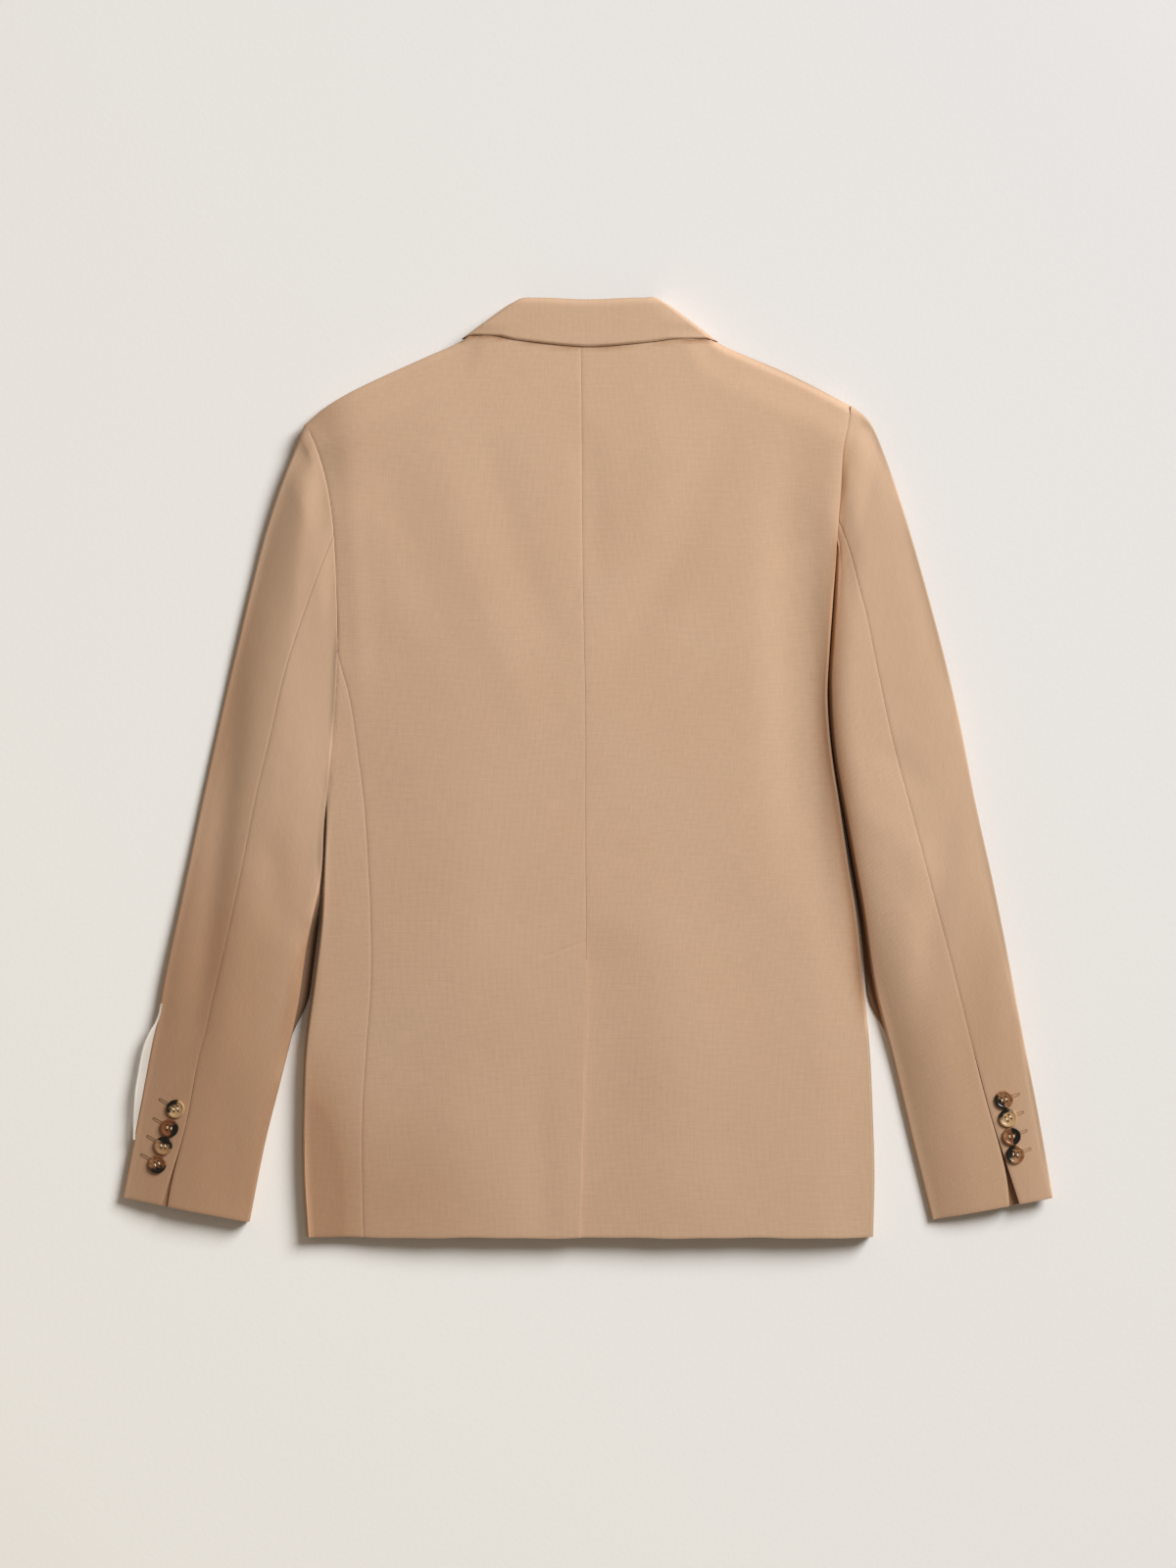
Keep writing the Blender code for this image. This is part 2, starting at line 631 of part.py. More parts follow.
def collar_columns():
    """Stations round the collar: under left, left turn, top, right turn, under right."""
    turn = (90.0, 55.0, 20.0, -20.0, -55.0, -90.0)
    columns = [("under", COLLAR_UNDER_LEFT, k / 4, 0.0) for k in range(4)]
    columns += [("turn", COLLAR_TOP, 0.0, angle) for angle in reversed(turn)]
    columns += [("top", COLLAR_TOP, mix(0.26, 0.74, k / 8), 0.0) for k in range(9)]
    columns += [("turn", COLLAR_TOP, 1.0, angle) for angle in turn]
    return columns + [("under", COLLAR_UNDER_RIGHT, k / 4, 0.0) for k in range(1, 5)]


def collar_point(column, spread, inset, edges, nose, top_height, base):
    """A point on a collar band between its fold line and its lower edge."""
    kind, rows, share, angle = column
    fold, low = [
        Vector((along(rows, edge + "_x", share), along(rows, edge + "_y", share)))
        for edge in edges]
    here = mix(fold, low, spread)
    if kind == "top":
        return (here.x, here.y, top_height(here.x, here.y, spread) - inset)
    if kind == "under":
        return (here.x, here.y, base + inset)
    inward = Vector((1.0, 0.0)) if share < 0.5 else Vector((-1.0, 0.0))
    top = top_height(*(here + inward * nose), spread)
    flat = top if angle > 0 else base
    reach, z = turned(math.radians(abs(angle)), flat, (top + base) / 2, nose, inset)
    here = here + inward * reach
    return (here.x, here.y, z)


def make_collar():
    """The fall: the visible band, wrapped round both sides of the neck."""
    def top_height(x, y, spread):
        return back_top(x, min(y, 336.0)) + CLOTH + COLLAR_LAY + FALL_RISE * (1 - spread)

    def point(spread, column, inset):
        return collar_point(column, spread, inset, ("fold", "edge"), COLLAR_NOSE, top_height, 0.0)

    rows = [0.0, 0.25, 0.5, 0.75, 1.0]
    wall("collar", *two_skins(point, rows, collar_columns()))


def make_collar_stand():
    """The stand inside the fall, from the neck seam up to the fold line."""
    def top_height(x, y, _):
        return back_top(x, min(y, 336.0)) - STAND_DROP

    def point(spread, column, inset):
        return collar_point(
            column, spread, inset, ("stand", "neck"), STAND_NOSE, top_height, CLOTH + LAY)

    rows = [0.0, 0.5, 1.0]
    wall("collar_stand", *two_skins(point, rows, collar_columns()))


# ------------------------------------------------------------------ sleeves

def sleeve_form(stations, armhole, shift, rests):
    """A sleeve's form: spot, top and underside at (u across, s down its length)."""
    first = stations[0]

    def spot(u, s):
        out = Vector((along(stations, "out_x", s), along(stations, "out_y", s)))
        inner = Vector((along(stations, "in_x", s), along(stations, "in_y", s)))
        straight = mix(Vector((first.out_x, first.out_y)), Vector((first.in_x, first.in_y)), u)
        bow = (path(armhole, u) - straight) * smooth(1.0 - s / ARMHOLE_FADE)
        sewn = Vector((shift * smooth(1.0 - s / 0.05), 0.0))
        return mix(out, inner, u) + bow + sewn

    def width(s):
        return (spot(0.0, s) - spot(1.0, s)).length

    def slant(u, s, least):
        """Sine of the angle between a row and the line that runs down through it."""
        across = (spot(1.0, s) - spot(0.0, s)).normalized()
        down = (spot(u, min(s + 0.02, 1.0)) - spot(u, max(s - 0.02, 0.0))).normalized()
        return max(abs(across.x * down.y - across.y * down.x), least)

    def heights(u, s):
        thick = along(stations, "thick", s)
        here, inner = spot(u, s), (1.0 - u) * width(s) * slant(1.0, s, 0.5)
        low_in = rests(*spot(1.0, s))
        outer_drop = (thick - along(stations, "edge_out", s)) * (1 - smooth(u * width(s) / SLEEVE_ROLL))
        inner_drop = (thick - along(stations, "edge_in", s) - low_in) * (1 - smooth(inner / SLEEVE_ROLL))
        return thick - max(outer_drop, inner_drop), rests(here.x, here.y)

    return spot, width, slant, heights


def side_rest(x, y):
    """Underside of the left sleeve: over the body's side, then down to the surface."""
    reach = x - body("fold_left", y)
    over = back_top(max(x, body("fold_left", y)), min(y, ARMPIT_LEFT)) + SLEEVE_CLEAR
    beside = smooth((ARMPIT_LEFT + 45.0 - y) / 45.0) * smooth((y + 140.0) / 70.0)
    return over * beside * smooth(1.0 + reach / SLEEVE_REST)


def make_sleeve(side, stations, armhole, shift, rests):
    """Top and under sleeve, joined by the back seam on top and the forearm seam below."""
    spot, width, slant, heights = sleeve_form(stations, armhole, shift, rests)

    def inward(s, fold):
        """Straight in from a fold, but near the armhole leaning along its line."""
        down = (spot(fold, min(s + 0.01, 1.0)) - spot(fold, max(s - 0.01, 0.0))).normalized()
        across = (spot(1.0 - fold, s) - spot(fold, s)).normalized()
        square = Vector((down.y, -down.x))
        if square.dot(spot(1.0 - fold, 0.5) - spot(fold, 0.5)) < 0.0:
            square = -square
        start = across + square * fold
        return mix(start.normalized(), square, smooth(s / ARMHOLE_TURN)).normalized()

    def nose(s, fold):
        return SLEEVE_NOSE * mix(1.0 - fold / 2, 1.0, smooth(s / ARMHOLE_TURN))

    def round_fold(s, angle, inset, fold):
        edge = along(stations, "edge_in" if fold else "edge_out", s)
        lift = rests(*spot(1.0, s)) if fold else 0.0
        flat = edge + lift if angle > 0 else lift
        reach, z = turned(math.radians(abs(angle)), flat, lift + edge / 2, nose(s, fold), inset)
        x, y = spot(fold, s) + inward(s, fold) * reach
        return (x, y, z)

    def point(s, column, inset):
        kind, share = column
        if kind == "outer fold":
            return round_fold(s, share, inset, 0.0)
        if kind == "inner fold":
            return round_fold(s, share, inset, 1.0)
        fold = 1.0 if kind.endswith("in") else 0.0
        if kind.startswith("top"):
            seam = along(stations, "seam_under" if fold else "seam", s)
        else:
            seam = 1.0 - FOREARM_SEAM / slant(1.0, s, 0.35) / width(s)
        half_gap = SEAM / 2 / width(s) / slant(seam, s, 0.25)
        seam += half_gap if fold else -half_gap
        near = abs(fold - nose(s, fold) / width(s))
        u = mix(seam, near, share)
        shift = spot(fold, s) + inward(s, fold) * nose(s, fold) - spot(near, s)
        x, y = spot(u, s) + shift * share
        top, low = heights(u, s)
        return (x, y, top - inset if kind.startswith("top") else rests(x, y) + inset)

    rows = [k / (len(stations) - 1) for k in range(len(stations))]
    turn = (60.0, 30.0, 0.0, -30.0, -60.0)
    columns = [("top out", k / 4) for k in range(5)]
    columns += [("outer fold", angle) for angle in turn]
    columns += [("under out", k / 5) for k in range(5, -1, -1)]
    wall("top_sleeve_" + side, *two_skins(point, rows, columns))

    columns = [("top in", k / 4) for k in range(5)]
    columns += [("inner fold", angle) for angle in turn]
    columns += [("under in", k / 2) for k in range(2, -1, -1)]
    wall("under_sleeve_" + side, *two_skins(point, rows, columns))
    return spot, heights


# ------------------------------------------------------------------ buttons and label

def button(name, x, y, z, diameter, thick):
    """A disc with a rounded rim."""
    bm = bmesh.new()
    bmesh.ops.create_cone(
        bm, cap_ends=True, segments=14, radius1=diameter / 2 * MM, radius2=diameter / 2 * MM,
        depth=thick * MM)
    mesh = bpy.data.meshes.new(name)
    bm.to_mesh(mesh)
    bm.free()
    piece = add_object(name, mesh, "buttons", HORN)
    piece.location = (x * MM, y * MM, (z + thick / 2) * MM)
    bevel = piece.modifiers.new("rim", "BEVEL")
    bevel.width = 0.6 * MM
    bevel.segments = 1
    bevel.limit_method = "ANGLE"


def sleeve_height(form, x, y):
    """Height of a sleeve's top face under a point, by a search over its form."""
    spot, heights = form
    best = min(
        ((spot(i / 40, j / 120) - Vector((x, y))).length, i / 40, j / 120)
        for i in range(41) for j in range(80, 121))
    return heights(best[1], best[2])[0]


def make_buttons(forms):
    for side, row in CUFF_ROWS.items():
        for k in range(4):
            x, y = row.x + row.step_x * k, row.y + row.step_y * k
            around = [(x + dx, y + dy) for dx in (-7.0, 0.0, 7.0) for dy in (-7.0, 0.0, 7.0)]
            z = max(sleeve_height(forms[side], px, py) for px, py in around) + LAY
            button(f"cuff_button_{side}_{k + 1}", x, y, z, CUFF_BUTTON, CUFF_BUTTON_THICK)
    for name, y in zip(("upper", "lower"), FRONT_BUTTON_YS):
        button("front_button_" + name, CENTRE_FRONT, y, 0.0, FRONT_BUTTON, FRONT_BUTTON_THICK)


def make_label():
    """A plain strip sewn under the left sleeve's outer fold, near the cuff."""
    def grid(z):
        rows = []
        for k in range(13):
            share = k / 12
            y = mix(LABEL_TOP_Y, LABEL_BOTTOM_Y, share)
            stations = sorted(SLEEVE_LEFT, key=lambda s: s.out_y)
            fold = cubic([s.out_y for s in stations], [s.out_x for s in stations], y)
            out = cubic([s.share for s in LABEL], [s.out for s in LABEL], share)
            rows.append([(fold - out, y, z), (fold + LABEL_INSET, y, z)])
        return rows

    wall("cuff_label", grid(LABEL_THICK), grid(0.0), "label", LABEL_WHITE)


def build():
    for old in list(bpy.data.objects):
        bpy.data.objects.remove(old, do_unlink=True)
    collection = bpy.data.collections.new(COLLECTION)
    bpy.context.scene.collection.children.link(collection)

    make_back_left()
    make_back_right()
    make_side_left()
    make_side_right()
    make_front("left")
    make_front("right")
    make_lapel("left", LAPEL_LEFT)
    make_lapel("right", LAPEL_RIGHT)
    make_collar()
    make_collar_stand()
    forms = {
        "left": make_sleeve("left", SLEEVE_LEFT, ARMHOLE_LEFT, -ARMHOLE_GAP, side_rest),
        "right": make_sleeve("right", SLEEVE_RIGHT, ARMHOLE_RIGHT, ARMHOLE_GAP, lambda x, y: 0.0),
    }
    make_buttons(forms)
    make_label()


build()
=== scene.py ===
"""Single-breasted blazer, laid flat on its front with its back up.

Tables and sizes are in millimetres, meshes in metres, +Z up, +Y to the collar.
A place in plan is a complex number, x + 1j * y, so a whole grid of places is
worked out at once. Every cloth piece is a thin shell with its own wall.
"""

import math
from collections import namedtuple

import bmesh
import bpy
import numpy as np
from mathutils import Matrix, Vector


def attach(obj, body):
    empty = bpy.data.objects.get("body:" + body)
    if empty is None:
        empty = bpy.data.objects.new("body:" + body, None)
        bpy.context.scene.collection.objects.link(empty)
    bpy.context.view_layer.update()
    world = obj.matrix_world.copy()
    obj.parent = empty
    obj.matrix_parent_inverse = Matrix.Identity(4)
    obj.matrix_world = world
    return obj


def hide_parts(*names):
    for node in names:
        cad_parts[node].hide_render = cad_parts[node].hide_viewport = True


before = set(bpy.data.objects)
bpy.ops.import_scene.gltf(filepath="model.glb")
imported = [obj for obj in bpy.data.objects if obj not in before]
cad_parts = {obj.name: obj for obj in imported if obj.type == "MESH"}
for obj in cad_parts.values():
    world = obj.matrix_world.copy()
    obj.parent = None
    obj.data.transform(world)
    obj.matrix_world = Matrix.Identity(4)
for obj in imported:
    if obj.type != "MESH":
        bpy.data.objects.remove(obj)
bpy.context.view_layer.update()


# ---------------------------------------------------------------- back panels
# Two panels of plain-woven wool suiting, seamed down the middle, shaped over the
# shoulders and pressed. Below the waist the left one laps over the right: the vent.

MM = 0.001
CLOTH = 1.4            # the cloth with its canvas
SEAM = 0.16            # gap between two pieces sewn edge to edge
LAY = 0.35             # gap between two pieces that lie on each other
STEP = 4.0             # spacing of a panel's columns and rows, where nothing else is said
FOLD_ANGLES = np.arange(75.0, -76.0, -15.0)    # steps round a fold, in degrees
HEM_Y = -369.0
NECK_Y = 345.0
BACK_LEFT_WIDTH = 185.0
BACK_RIGHT_WIDTH = 205.0
ARMPIT_LEFT = 91.0
ARMPIT_RIGHT = 177.0
ARMHOLE_START_LEFT = 0.71    # share of a panel's side that lies below the armpit
ARMHOLE_START_RIGHT = 0.83
VENT_TOP = -134.0
VENT_LAP = 36.0
VENT_FADE = 70.0       # the right panel dips over this width to pass under the left
VENT_RISE = 22.0       # its dip starts this far above the vent and is full over VENT_SINK
VENT_SINK = 42.0
VENT_TACK = 16.0       # the underlap itself starts this far below the vent's head
SHOULDER_EDGE = 17.8   # thickness along the shoulder seam
SHOULDER_MID = 7.5
SHOULDER_NOSE = 8.0    # how far in from the seam the shoulder rounds over
SHOULDER_STEPS = 9
SHOULDER_START = 12.0  # a back panel's rows end this far short of its top, then round over
SHOULDER_ROLL = 34.0
SHOULDER_LEAN = 0.9    # the seam slopes, so the shortest way down from it is this share
NECK_HALF = 96.0       # under the collar, this far each side, no shoulder edge shows
NECK_FADE = 40.0
NECK_AWAY = 70.0
NECK_TURN = 0.07       # shares of a panel's top edge over which it goes flat at the neck
NECK_EASE = 0.05
CORNER = 0.02          # share of an edge over which it is drawn to the panel's corner
SIDE_ROLL_LEFT = 130.0
SIDE_ROLL_RIGHT = 46.0
SIDE_NOSE_LEFT = 3.5
SIDE_NOSE_RIGHT = 2.5
ARMPIT_NOSE = 1.0
ARMPIT_NOSE_FADE = 50.0
SIDE_OPENS = 0.6       # above the armpit a side's roll draws back this much a millimetre

# The body by height. fold: side edge. seam: back edge of the left side panel.
# front: seams under the fronts. edge: thickness at each side. crown: in the middle.
Body = namedtuple(
    "Body", "y fold_left seam_left front_left centre front_right fold_right"
            " edge_left edge_right crown")
BODY = [
    Body(-369, -221.5, -176.0, -153, -4.8, 102, 224.8, 11.5, 14.0, 16.5),
    Body(-320, -224.5, -177.0, -152, -3.7, 101, 225.7, 12.0, 16.0, 17.5),
    Body(-270, -224.5, -176.7, -151, -2.0, 99, 224.3, 12.5, 17.0, 18.5),
    Body(-220, -222.5, -173.5, -149, -1.5, 96, 221.8, 13.0, 18.0, 19.5),
    Body(-170, -216.0, -170.0, -147, -0.6, 92, 217.0, 13.5, 18.5, 20.0),
    Body(-120, -210.0, -170.0, -146, -0.8, 87, 212.2, 14.0, 18.5, 20.5),
    Body(-75, -208.3, -172.0, -146, -1.2, 83, 205.0, 14.0, 18.5, 21.0),
    Body(-30, -207.0, -175.0, -148, -1.3, 80, 198.3, 14.5, 18.5, 21.0),
    Body(15, -210.0, -180.5, -153, -1.3, 80, 191.6, 15.5, 18.5, 21.0),
    Body(55, -215.0, -186.5, -166, -1.5, 84, 188.7, 16.0, 18.5, 21.0),
    Body(91, -220.0, -195.6, -190, -2.2, 94, 190.3, 16.0, 18.5, 21.0),
    Body(130, -220.0, -195.6, -190, -3.0, 114, 193.0, 16.0, 18.5, 21.0),
    Body(177, -220.0, -195.6, -190, -3.7, 176, 196.0, 16.0, 18.5, 21.0),
    Body(260, -220.0, -195.6, -190, -4.2, 176, 196.0, 16.0, 19.5, 21.0),
    Body(340, -220.0, -195.6, -190, -5.0, 176, 196.0, 16.0, 18.8, 19.8),
]
SHOULDER_LEFT = [
    -222 + 270.5j, -206 + 284j, -181 + 298.5j, -130 + 322j, -108 + 331.5j, -99 + 336.2j,
    -88 + 341j,
]
SHOULDER_RIGHT = [
    206.7 + 284.7j, 186 + 296j, 156.6 + 310.7j, 130 + 322j, 110 + 330.5j, 101 + 335.5j,
    90 + 340j,
]
NECKLINE_LEFT = [-88 + 341j, -78 + 344j, -60 + 345j, -5 + 345j]
NECKLINE_RIGHT = [90 + 340j, 80 + 343j, 60 + 345j, -5 + 345j]
ARMHOLE_LEFT = [
    -222 + 270.5j, -215.5 + 258.5j, -206.4 + 231.4j, -200.6 + 201.4j, -197.7 + 162j,
    -196.3 + 124j, -195.7 + 91j,
]
ARMHOLE_RIGHT = [
    206.7 + 284.7j, 204.4 + 268j, 200.6 + 248j, 198.7 + 217j, 197 + 196j, 196 + 177j,
]

# Soft troughs (depth below zero) and ridges, each as x0, y0, x1, y1, width, depth, bend:
# its two ends, the width to where it has died away to a third, and its middle's bow.
CREASE_FADE = 0.35     # share of its length over which a crease fades out at each end
BODY_CREASES = [
    # from the shoulder blades down to the waist: two rays each side, and slack between
    (-176, 300, -90, 60, 17, -0.7, -10), (-136, 310, -24, -20, 18, 0.8, -6),
    (-88, 300, -10, 60, 15, -0.7, -8), (-192, 290, -176, 10, 9, 0.7, 2),
    (-8, 290, 6, 130, 13, -0.9, 4), (122, 290, 4, 60, 18, -1.3, 8),
    (64, 290, 40, 160, 18, 0.6, 0),
    (-236, 350, -204, 190, 24, -5.2, 0),     # the left shoulder tip falls away
    # the right side stands up beside the sleeve, with a long hollow before it
    (170, 310, 176, -140, 18, -2.6, -17), (200, 290, 214, -180, 12, 4.2, -15),
    # below the waist the cloth hangs toward the left hem corner
    (30, -60, 100, -320, 40, 1.6, 0), (-230, -420, -60, -160, 44, -2.6, 10),
    (-38, -200, -34, -440, 13, -0.6, 0), (-200, 60, -206, -180, 9, -0.4, 0),
]
# Painted shade: the wool is coloured deeper and browner toward the cuffs and the left hem corner, down
# the left sleeve's inner edge and at the left shoulder tip.
SHADE_PATCHES = [
    (-284, 190, -320, -60, 30, 1.0, 0), (-300, 20, -306, -520, 85, 0.95, 0),
    (-217, -190, -210, -540, 30, 1.0, 0), (-150, -240, -120, -540, 70, 0.4, 0),
    (310, -60, 322, -540, 60, 0.5, 0), (40, -300, 60, -500, 150, 0.1, 0),
    (-240, 310, -200, 260, 16, 0.3, 0), (-214, -105, -242, -245, 5, 0.8, 0),
    (-239, -232, -269, -370, 5, 0.8, 0),
]
# Painted shade, a little greyer, on edges that face the lamp: the collar's, the right shoulder's and
# sleeve's, and the left sleeve's inner edge.
RIM_SHADE = [
    (58, 371, 108, 333, 2.5, 0.9, 0), (92, 342, 214, 283, 2.8, 0.9, 0),
    (204, 290, 246, 212, 2.8, 0.9, 5), (240, 230, 293, 30, 2.8, 0.9, 0),
    (291, 44, 344, -218, 2.8, 0.9, 0), (340, -200, 367, -345, 2.8, 0.9, 0),
    (-196, 120, -200.5, 10, 2.2, 1.0, 0), (-200, 20, -210, -90, 2.2, 1.0, 0),
]
# Painted shade along each side fold's edge too: its column, width, top and fade.
FOLD_EDGE_SHADE = [("fold_left", 2.0, -80.0, 60.0), ("fold_right", 2.4, -215.0, 30.0)]
# Painted shade in crevices: along the right armhole, and in the line under the collar's edge.
CREVICE_SHADE_LINES = [
    (205, 275, 196, 120, 3.0, 0.6, 0), (-104, 337, -52, 334.5, 1.7, 1.3, 2.5),
    (-58, 335, 4, 329.5, 1.7, 1.3, -1), (-4, 329.5, 50, 333, 1.7, 1.3, -0.5),
    (46, 333, 106, 334, 1.7, 1.3, 1.5),
]
HOLLOW_SHADE = (1.8, 0.9)    # painted shade in the hollow beside the right sleeve, low down and high up
HOLLOW_RISE = (10.0, 130.0)            # it changes from this height up, over so much
HOLLOW_ENDS = (-215.0, 60.0, 165.0, 40.0)
HOLLOW_WIDTH = 8.0
HOLLOW_OFF = 0.5
HEM_WAVE = 0.35        # how far the hem strays from a straight line, and how far up
HEM_WAVE_FADE = 30.0
SEAM_DIP = 0.22        # how deep a pressed seam lies, and how wide
SEAM_DIP_WIDTH = 1.0
CENTRE_DIP = 0.4       # the centre seam lies this share as deep low down
CENTRE_FROM = 40.0     # and comes to its full depth from this height up, over so much
CENTRE_OVER = 160.0
SEWN_FADE = 12.0       # length over which a seam gives way to an open edge
ARMHOLE_DIP = 0.35
ARMHOLE_FADE_IN = 20.0
ARMHOLE_WALL = 5.0     # the back's edge turns down this far beside the right sleeve
EDGE_ROUND = 0.25      # a pressed free edge is a little rounded
VENT_SHARP = 0.2       # the lapped edge this share as much at its head, down to VENT_SOFT
VENT_SOFT = -190.0
VENT_SOFT_FADE = 70.0
TACK_LEFT = 38.0       # the vent's slanting row of stitches shows as a faint line
TACK_DROP = 15.0
TACK_DEPTH = 0.22
TACK_HALF = 1.3
TACK_STEP = 1.2
TACK_FADE = (8.0, 2.0)     # at its outer end and at the centre seam


def smooth(share):
    """0 to 1 with soft ends."""
    share = np.clip(share, 0.0, 1.0)
    return share * share * (3.0 - 2.0 * share)


def mix(low, high, share):
    return low + (high - low) * share


def cubic(knots, values, at):
    """A smooth curve through values at rising knots."""
    knots, values = np.asarray(knots, float), np.asarray(values)
    last = len(knots) - 1
    at = np.clip(at, knots[0], knots[last])
    i = np.clip(np.searchsorted(knots, at, side="left") - 1, 0, last - 1)
    low = np.maximum(np.arange(last + 1) - 1, 0)
    high = np.minimum(np.arange(last + 1) + 1, last)
    slope = (values[high] - values[low]) / (knots[high] - knots[low])
    width = knots[i + 1] - knots[i]
    t = (at - knots[i]) / width
    return (values[i] + t * t * (3 - 2 * t) * (values[i + 1] - values[i])
            + t * (1 - t) * (1 - t) * width * slope[i]
            - t * t * (1 - t) * width * slope[i + 1])


def body(column, y):
    """A column of the body's table at heights y."""
    return cubic([row.y for row in BODY], [getattr(row, column) for row in BODY], y)


def path(places, share):
    """Places at shares of the length of a smooth line."""
    places = np.asarray(places)
    knots = np.concatenate([[0.0], np.cumsum(abs(np.diff(places)))])
    return cubic(knots, places, share * knots[-1])


def turned(angle, flat, mid, length, inset):
    """Reach in from a fold's edge, and height, at an angle round its nose.

    90 degrees is where the nose meets the piece's own flat face, 0 the edge.
    """
    reach = length * (1.0 - np.cos(angle)) + inset * np.cos(angle)
    half = abs(flat - mid) - inset
    return reach, mid + np.where(flat >= mid, 1.0, -1.0) * half * np.sin(angle)


def marks(length, step=STEP, start=True, end=True):
    """Shares along a line: step apart, and close together at an edge that shows."""
    close = np.array([0.0, 0.25, 0.6, 1.1, 1.8, 2.8])
    first = close if start else close[:1]
    last = close if end else close[:1]
    count = max(2, round((length - first[-1] - last[-1]) / step))
    middle = np.linspace(first[-1], length - last[-1], count + 1)[1:-1]
    return np.concatenate([first, middle, length - last[::-1]]) / length


def lift(creases, place):
    """Height that a table of creases adds at places."""
    total = np.zeros(np.shape(place))
    for x0, y0, x1, y1, width, depth, bend in creases:
        start = x0 + 1j * y0
        run = x1 + 1j * y1 - start
        local = (place - start) / run
        t = local.real
        off = local.imag * abs(run) - bend * 4 * t * (1 - t)
        ridge = depth * np.exp(-(off / width) ** 2)
        total += ridge * smooth(t / CREASE_FADE) * smooth((1 - t) / CREASE_FADE)
    return total


def ease(place):
    """The slight unevenness of pressed cloth, some tenths of a millimetre."""
    x, y = place.real, place.imag
    return (0.12 * np.sin(x / 23 + 1.3 * np.sin(y / 61)) * np.sin(y / 41 + 0.7)
            + 0.10 * np.sin(x / 47 - y / 33 + 2.1) + 0.06 * np.sin(x / 13 + y / 29))


def stretch(y, low, fade_in, high, fade_out):
    """1 between two heights, with soft ends above each."""
    return smooth((y - low) / fade_in) * (1 - smooth((y - high) / fade_out))


def painted_shade(place):
    """Painted shade on the wool: up to 1 a deeper, browner colour; below 0 a greyer shade on lit
    edges.
    """
    # painted shade on lit edges and along the side folds
    edge_press_and_rim_shade = lift(RIM_SHADE, place)
    for column, width, top, fade in FOLD_EDGE_SHADE:
        off = (place.real - body(column, place.imag)) / width
        edge_press_and_rim_shade = edge_press_and_rim_shade + np.exp(-off ** 2) * (1 - smooth((place.imag - top) / fade))
    return mix(np.clip(lift(SHADE_PATCHES, place), 0.0, 1.0), -1.0, np.clip(edge_press_and_rim_shade, 0.0, 1.0))


def crevice_shade(place):
    """How much painted shade lies in the hollow beside the right sleeve and in the crevices."""
    x, y = place.real, place.imag
    off = x - body("fold_right", np.minimum(y, ARMPIT_RIGHT)) - HOLLOW_OFF
    start, over = HOLLOW_RISE
    depth = mix(*HOLLOW_SHADE, smooth((y - start) / over))
    beside = depth * stretch(y, *HOLLOW_ENDS) * np.exp(-(off / HOLLOW_WIDTH) ** 2)
    return np.maximum(beside, lift(CREVICE_SHADE_LINES, place))


def dip(distance, depth=SEAM_DIP, width=SEAM_DIP_WIDTH):
    """How far cloth goes down at a distance from a seam or an edge."""
    return depth * np.exp(-(distance / width) ** 2)


def reach_left(place):
    """Distance in from the left side fold; it opens out above the armpit."""
    x, y = place.real, place.imag
    above = np.maximum(0.0, y - ARMPIT_LEFT)
    return x - body("fold_left", np.minimum(y, ARMPIT_LEFT)) + SIDE_OPENS * above


def reach_right(place):
    x, y = place.real, place.imag
    above = np.maximum(0.0, y - ARMPIT_RIGHT)
    return body("fold_right", np.minimum(y, ARMPIT_RIGHT)) - x + SIDE_OPENS * above


def reach_shoulder(place):
    """Distance down from the shoulder seam; under the collar there is no edge."""
    left, right = np.array(SHOULDER_LEFT), np.array(SHOULDER_RIGHT[::-1])
    x = place.real
    seam = np.where(x < 0, cubic(left.real, left.imag, x), cubic(right.real, right.imag, x))
    return (seam - place.imag) * SHOULDER_LEAN + NECK_AWAY * smooth((NECK_HALF - abs(x)) / NECK_FADE)


def back_form(place):
    """Height of the back over the surface, before its creases."""
    y = place.imag
    crown = body("crown", y)

    def fall(edge, reach, roll):
        return (crown - edge) * (1 - smooth(reach / roll))

    left = fall(body("edge_left", y), reach_left(place), SIDE_ROLL_LEFT)
    right = fall(body("edge_right", y), reach_right(place), SIDE_ROLL_RIGHT)
    shoulder = fall(SHOULDER_EDGE, reach_shoulder(place), SHOULDER_ROLL)
    return crown - np.maximum(np.maximum(left, right), shoulder)


def back_top(place):
    return back_form(place) + lift(BODY_CREASES, place) + ease(place)


def vent_drop(place):
    """How far the right panel dips to pass under the left one at the vent."""
    near = 1 - smooth((place.real - body("centre", place.imag)) / VENT_FADE)
    return (CLOTH + LAY) * near * smooth((VENT_TOP + VENT_RISE - place.imag) / VENT_SINK)


def patch(bottom, top, left, right):
    """Places over a field with four known edges."""
    low = [bottom(0.0), bottom(1.0)]
    high = [top(0.0), top(1.0)]

    def at(u, v):
        across = mix(left(v), right(v), u)
        upward = mix(bottom(u), top(u), v)
        return across + upward - mix(mix(*low, u), mix(*high, u), v)

    return at


def top_edge(left, right, line, u):
    """A panel's top edge, made to start and end at its sides."""
    line = mix(left, line, smooth(u / CORNER))
    return mix(line, right, smooth((u - (1.0 - CORNER)) / CORNER))


def side_line(column, armhole, armpit, start, shift, hem=HEM_Y):
    """A panel's side: its seam up to the armpit, then the armhole to the shoulder."""
    def at(v):
        y = mix(hem, armpit, np.clip(v / start, 0.0, 1.0))
        above = path(armhole, 1.0 - np.clip((v - start) / (1.0 - start), 0.0, 1.0))
        return np.where(v <= start, body(column, y) + 1j * y, above) + shift

    return at


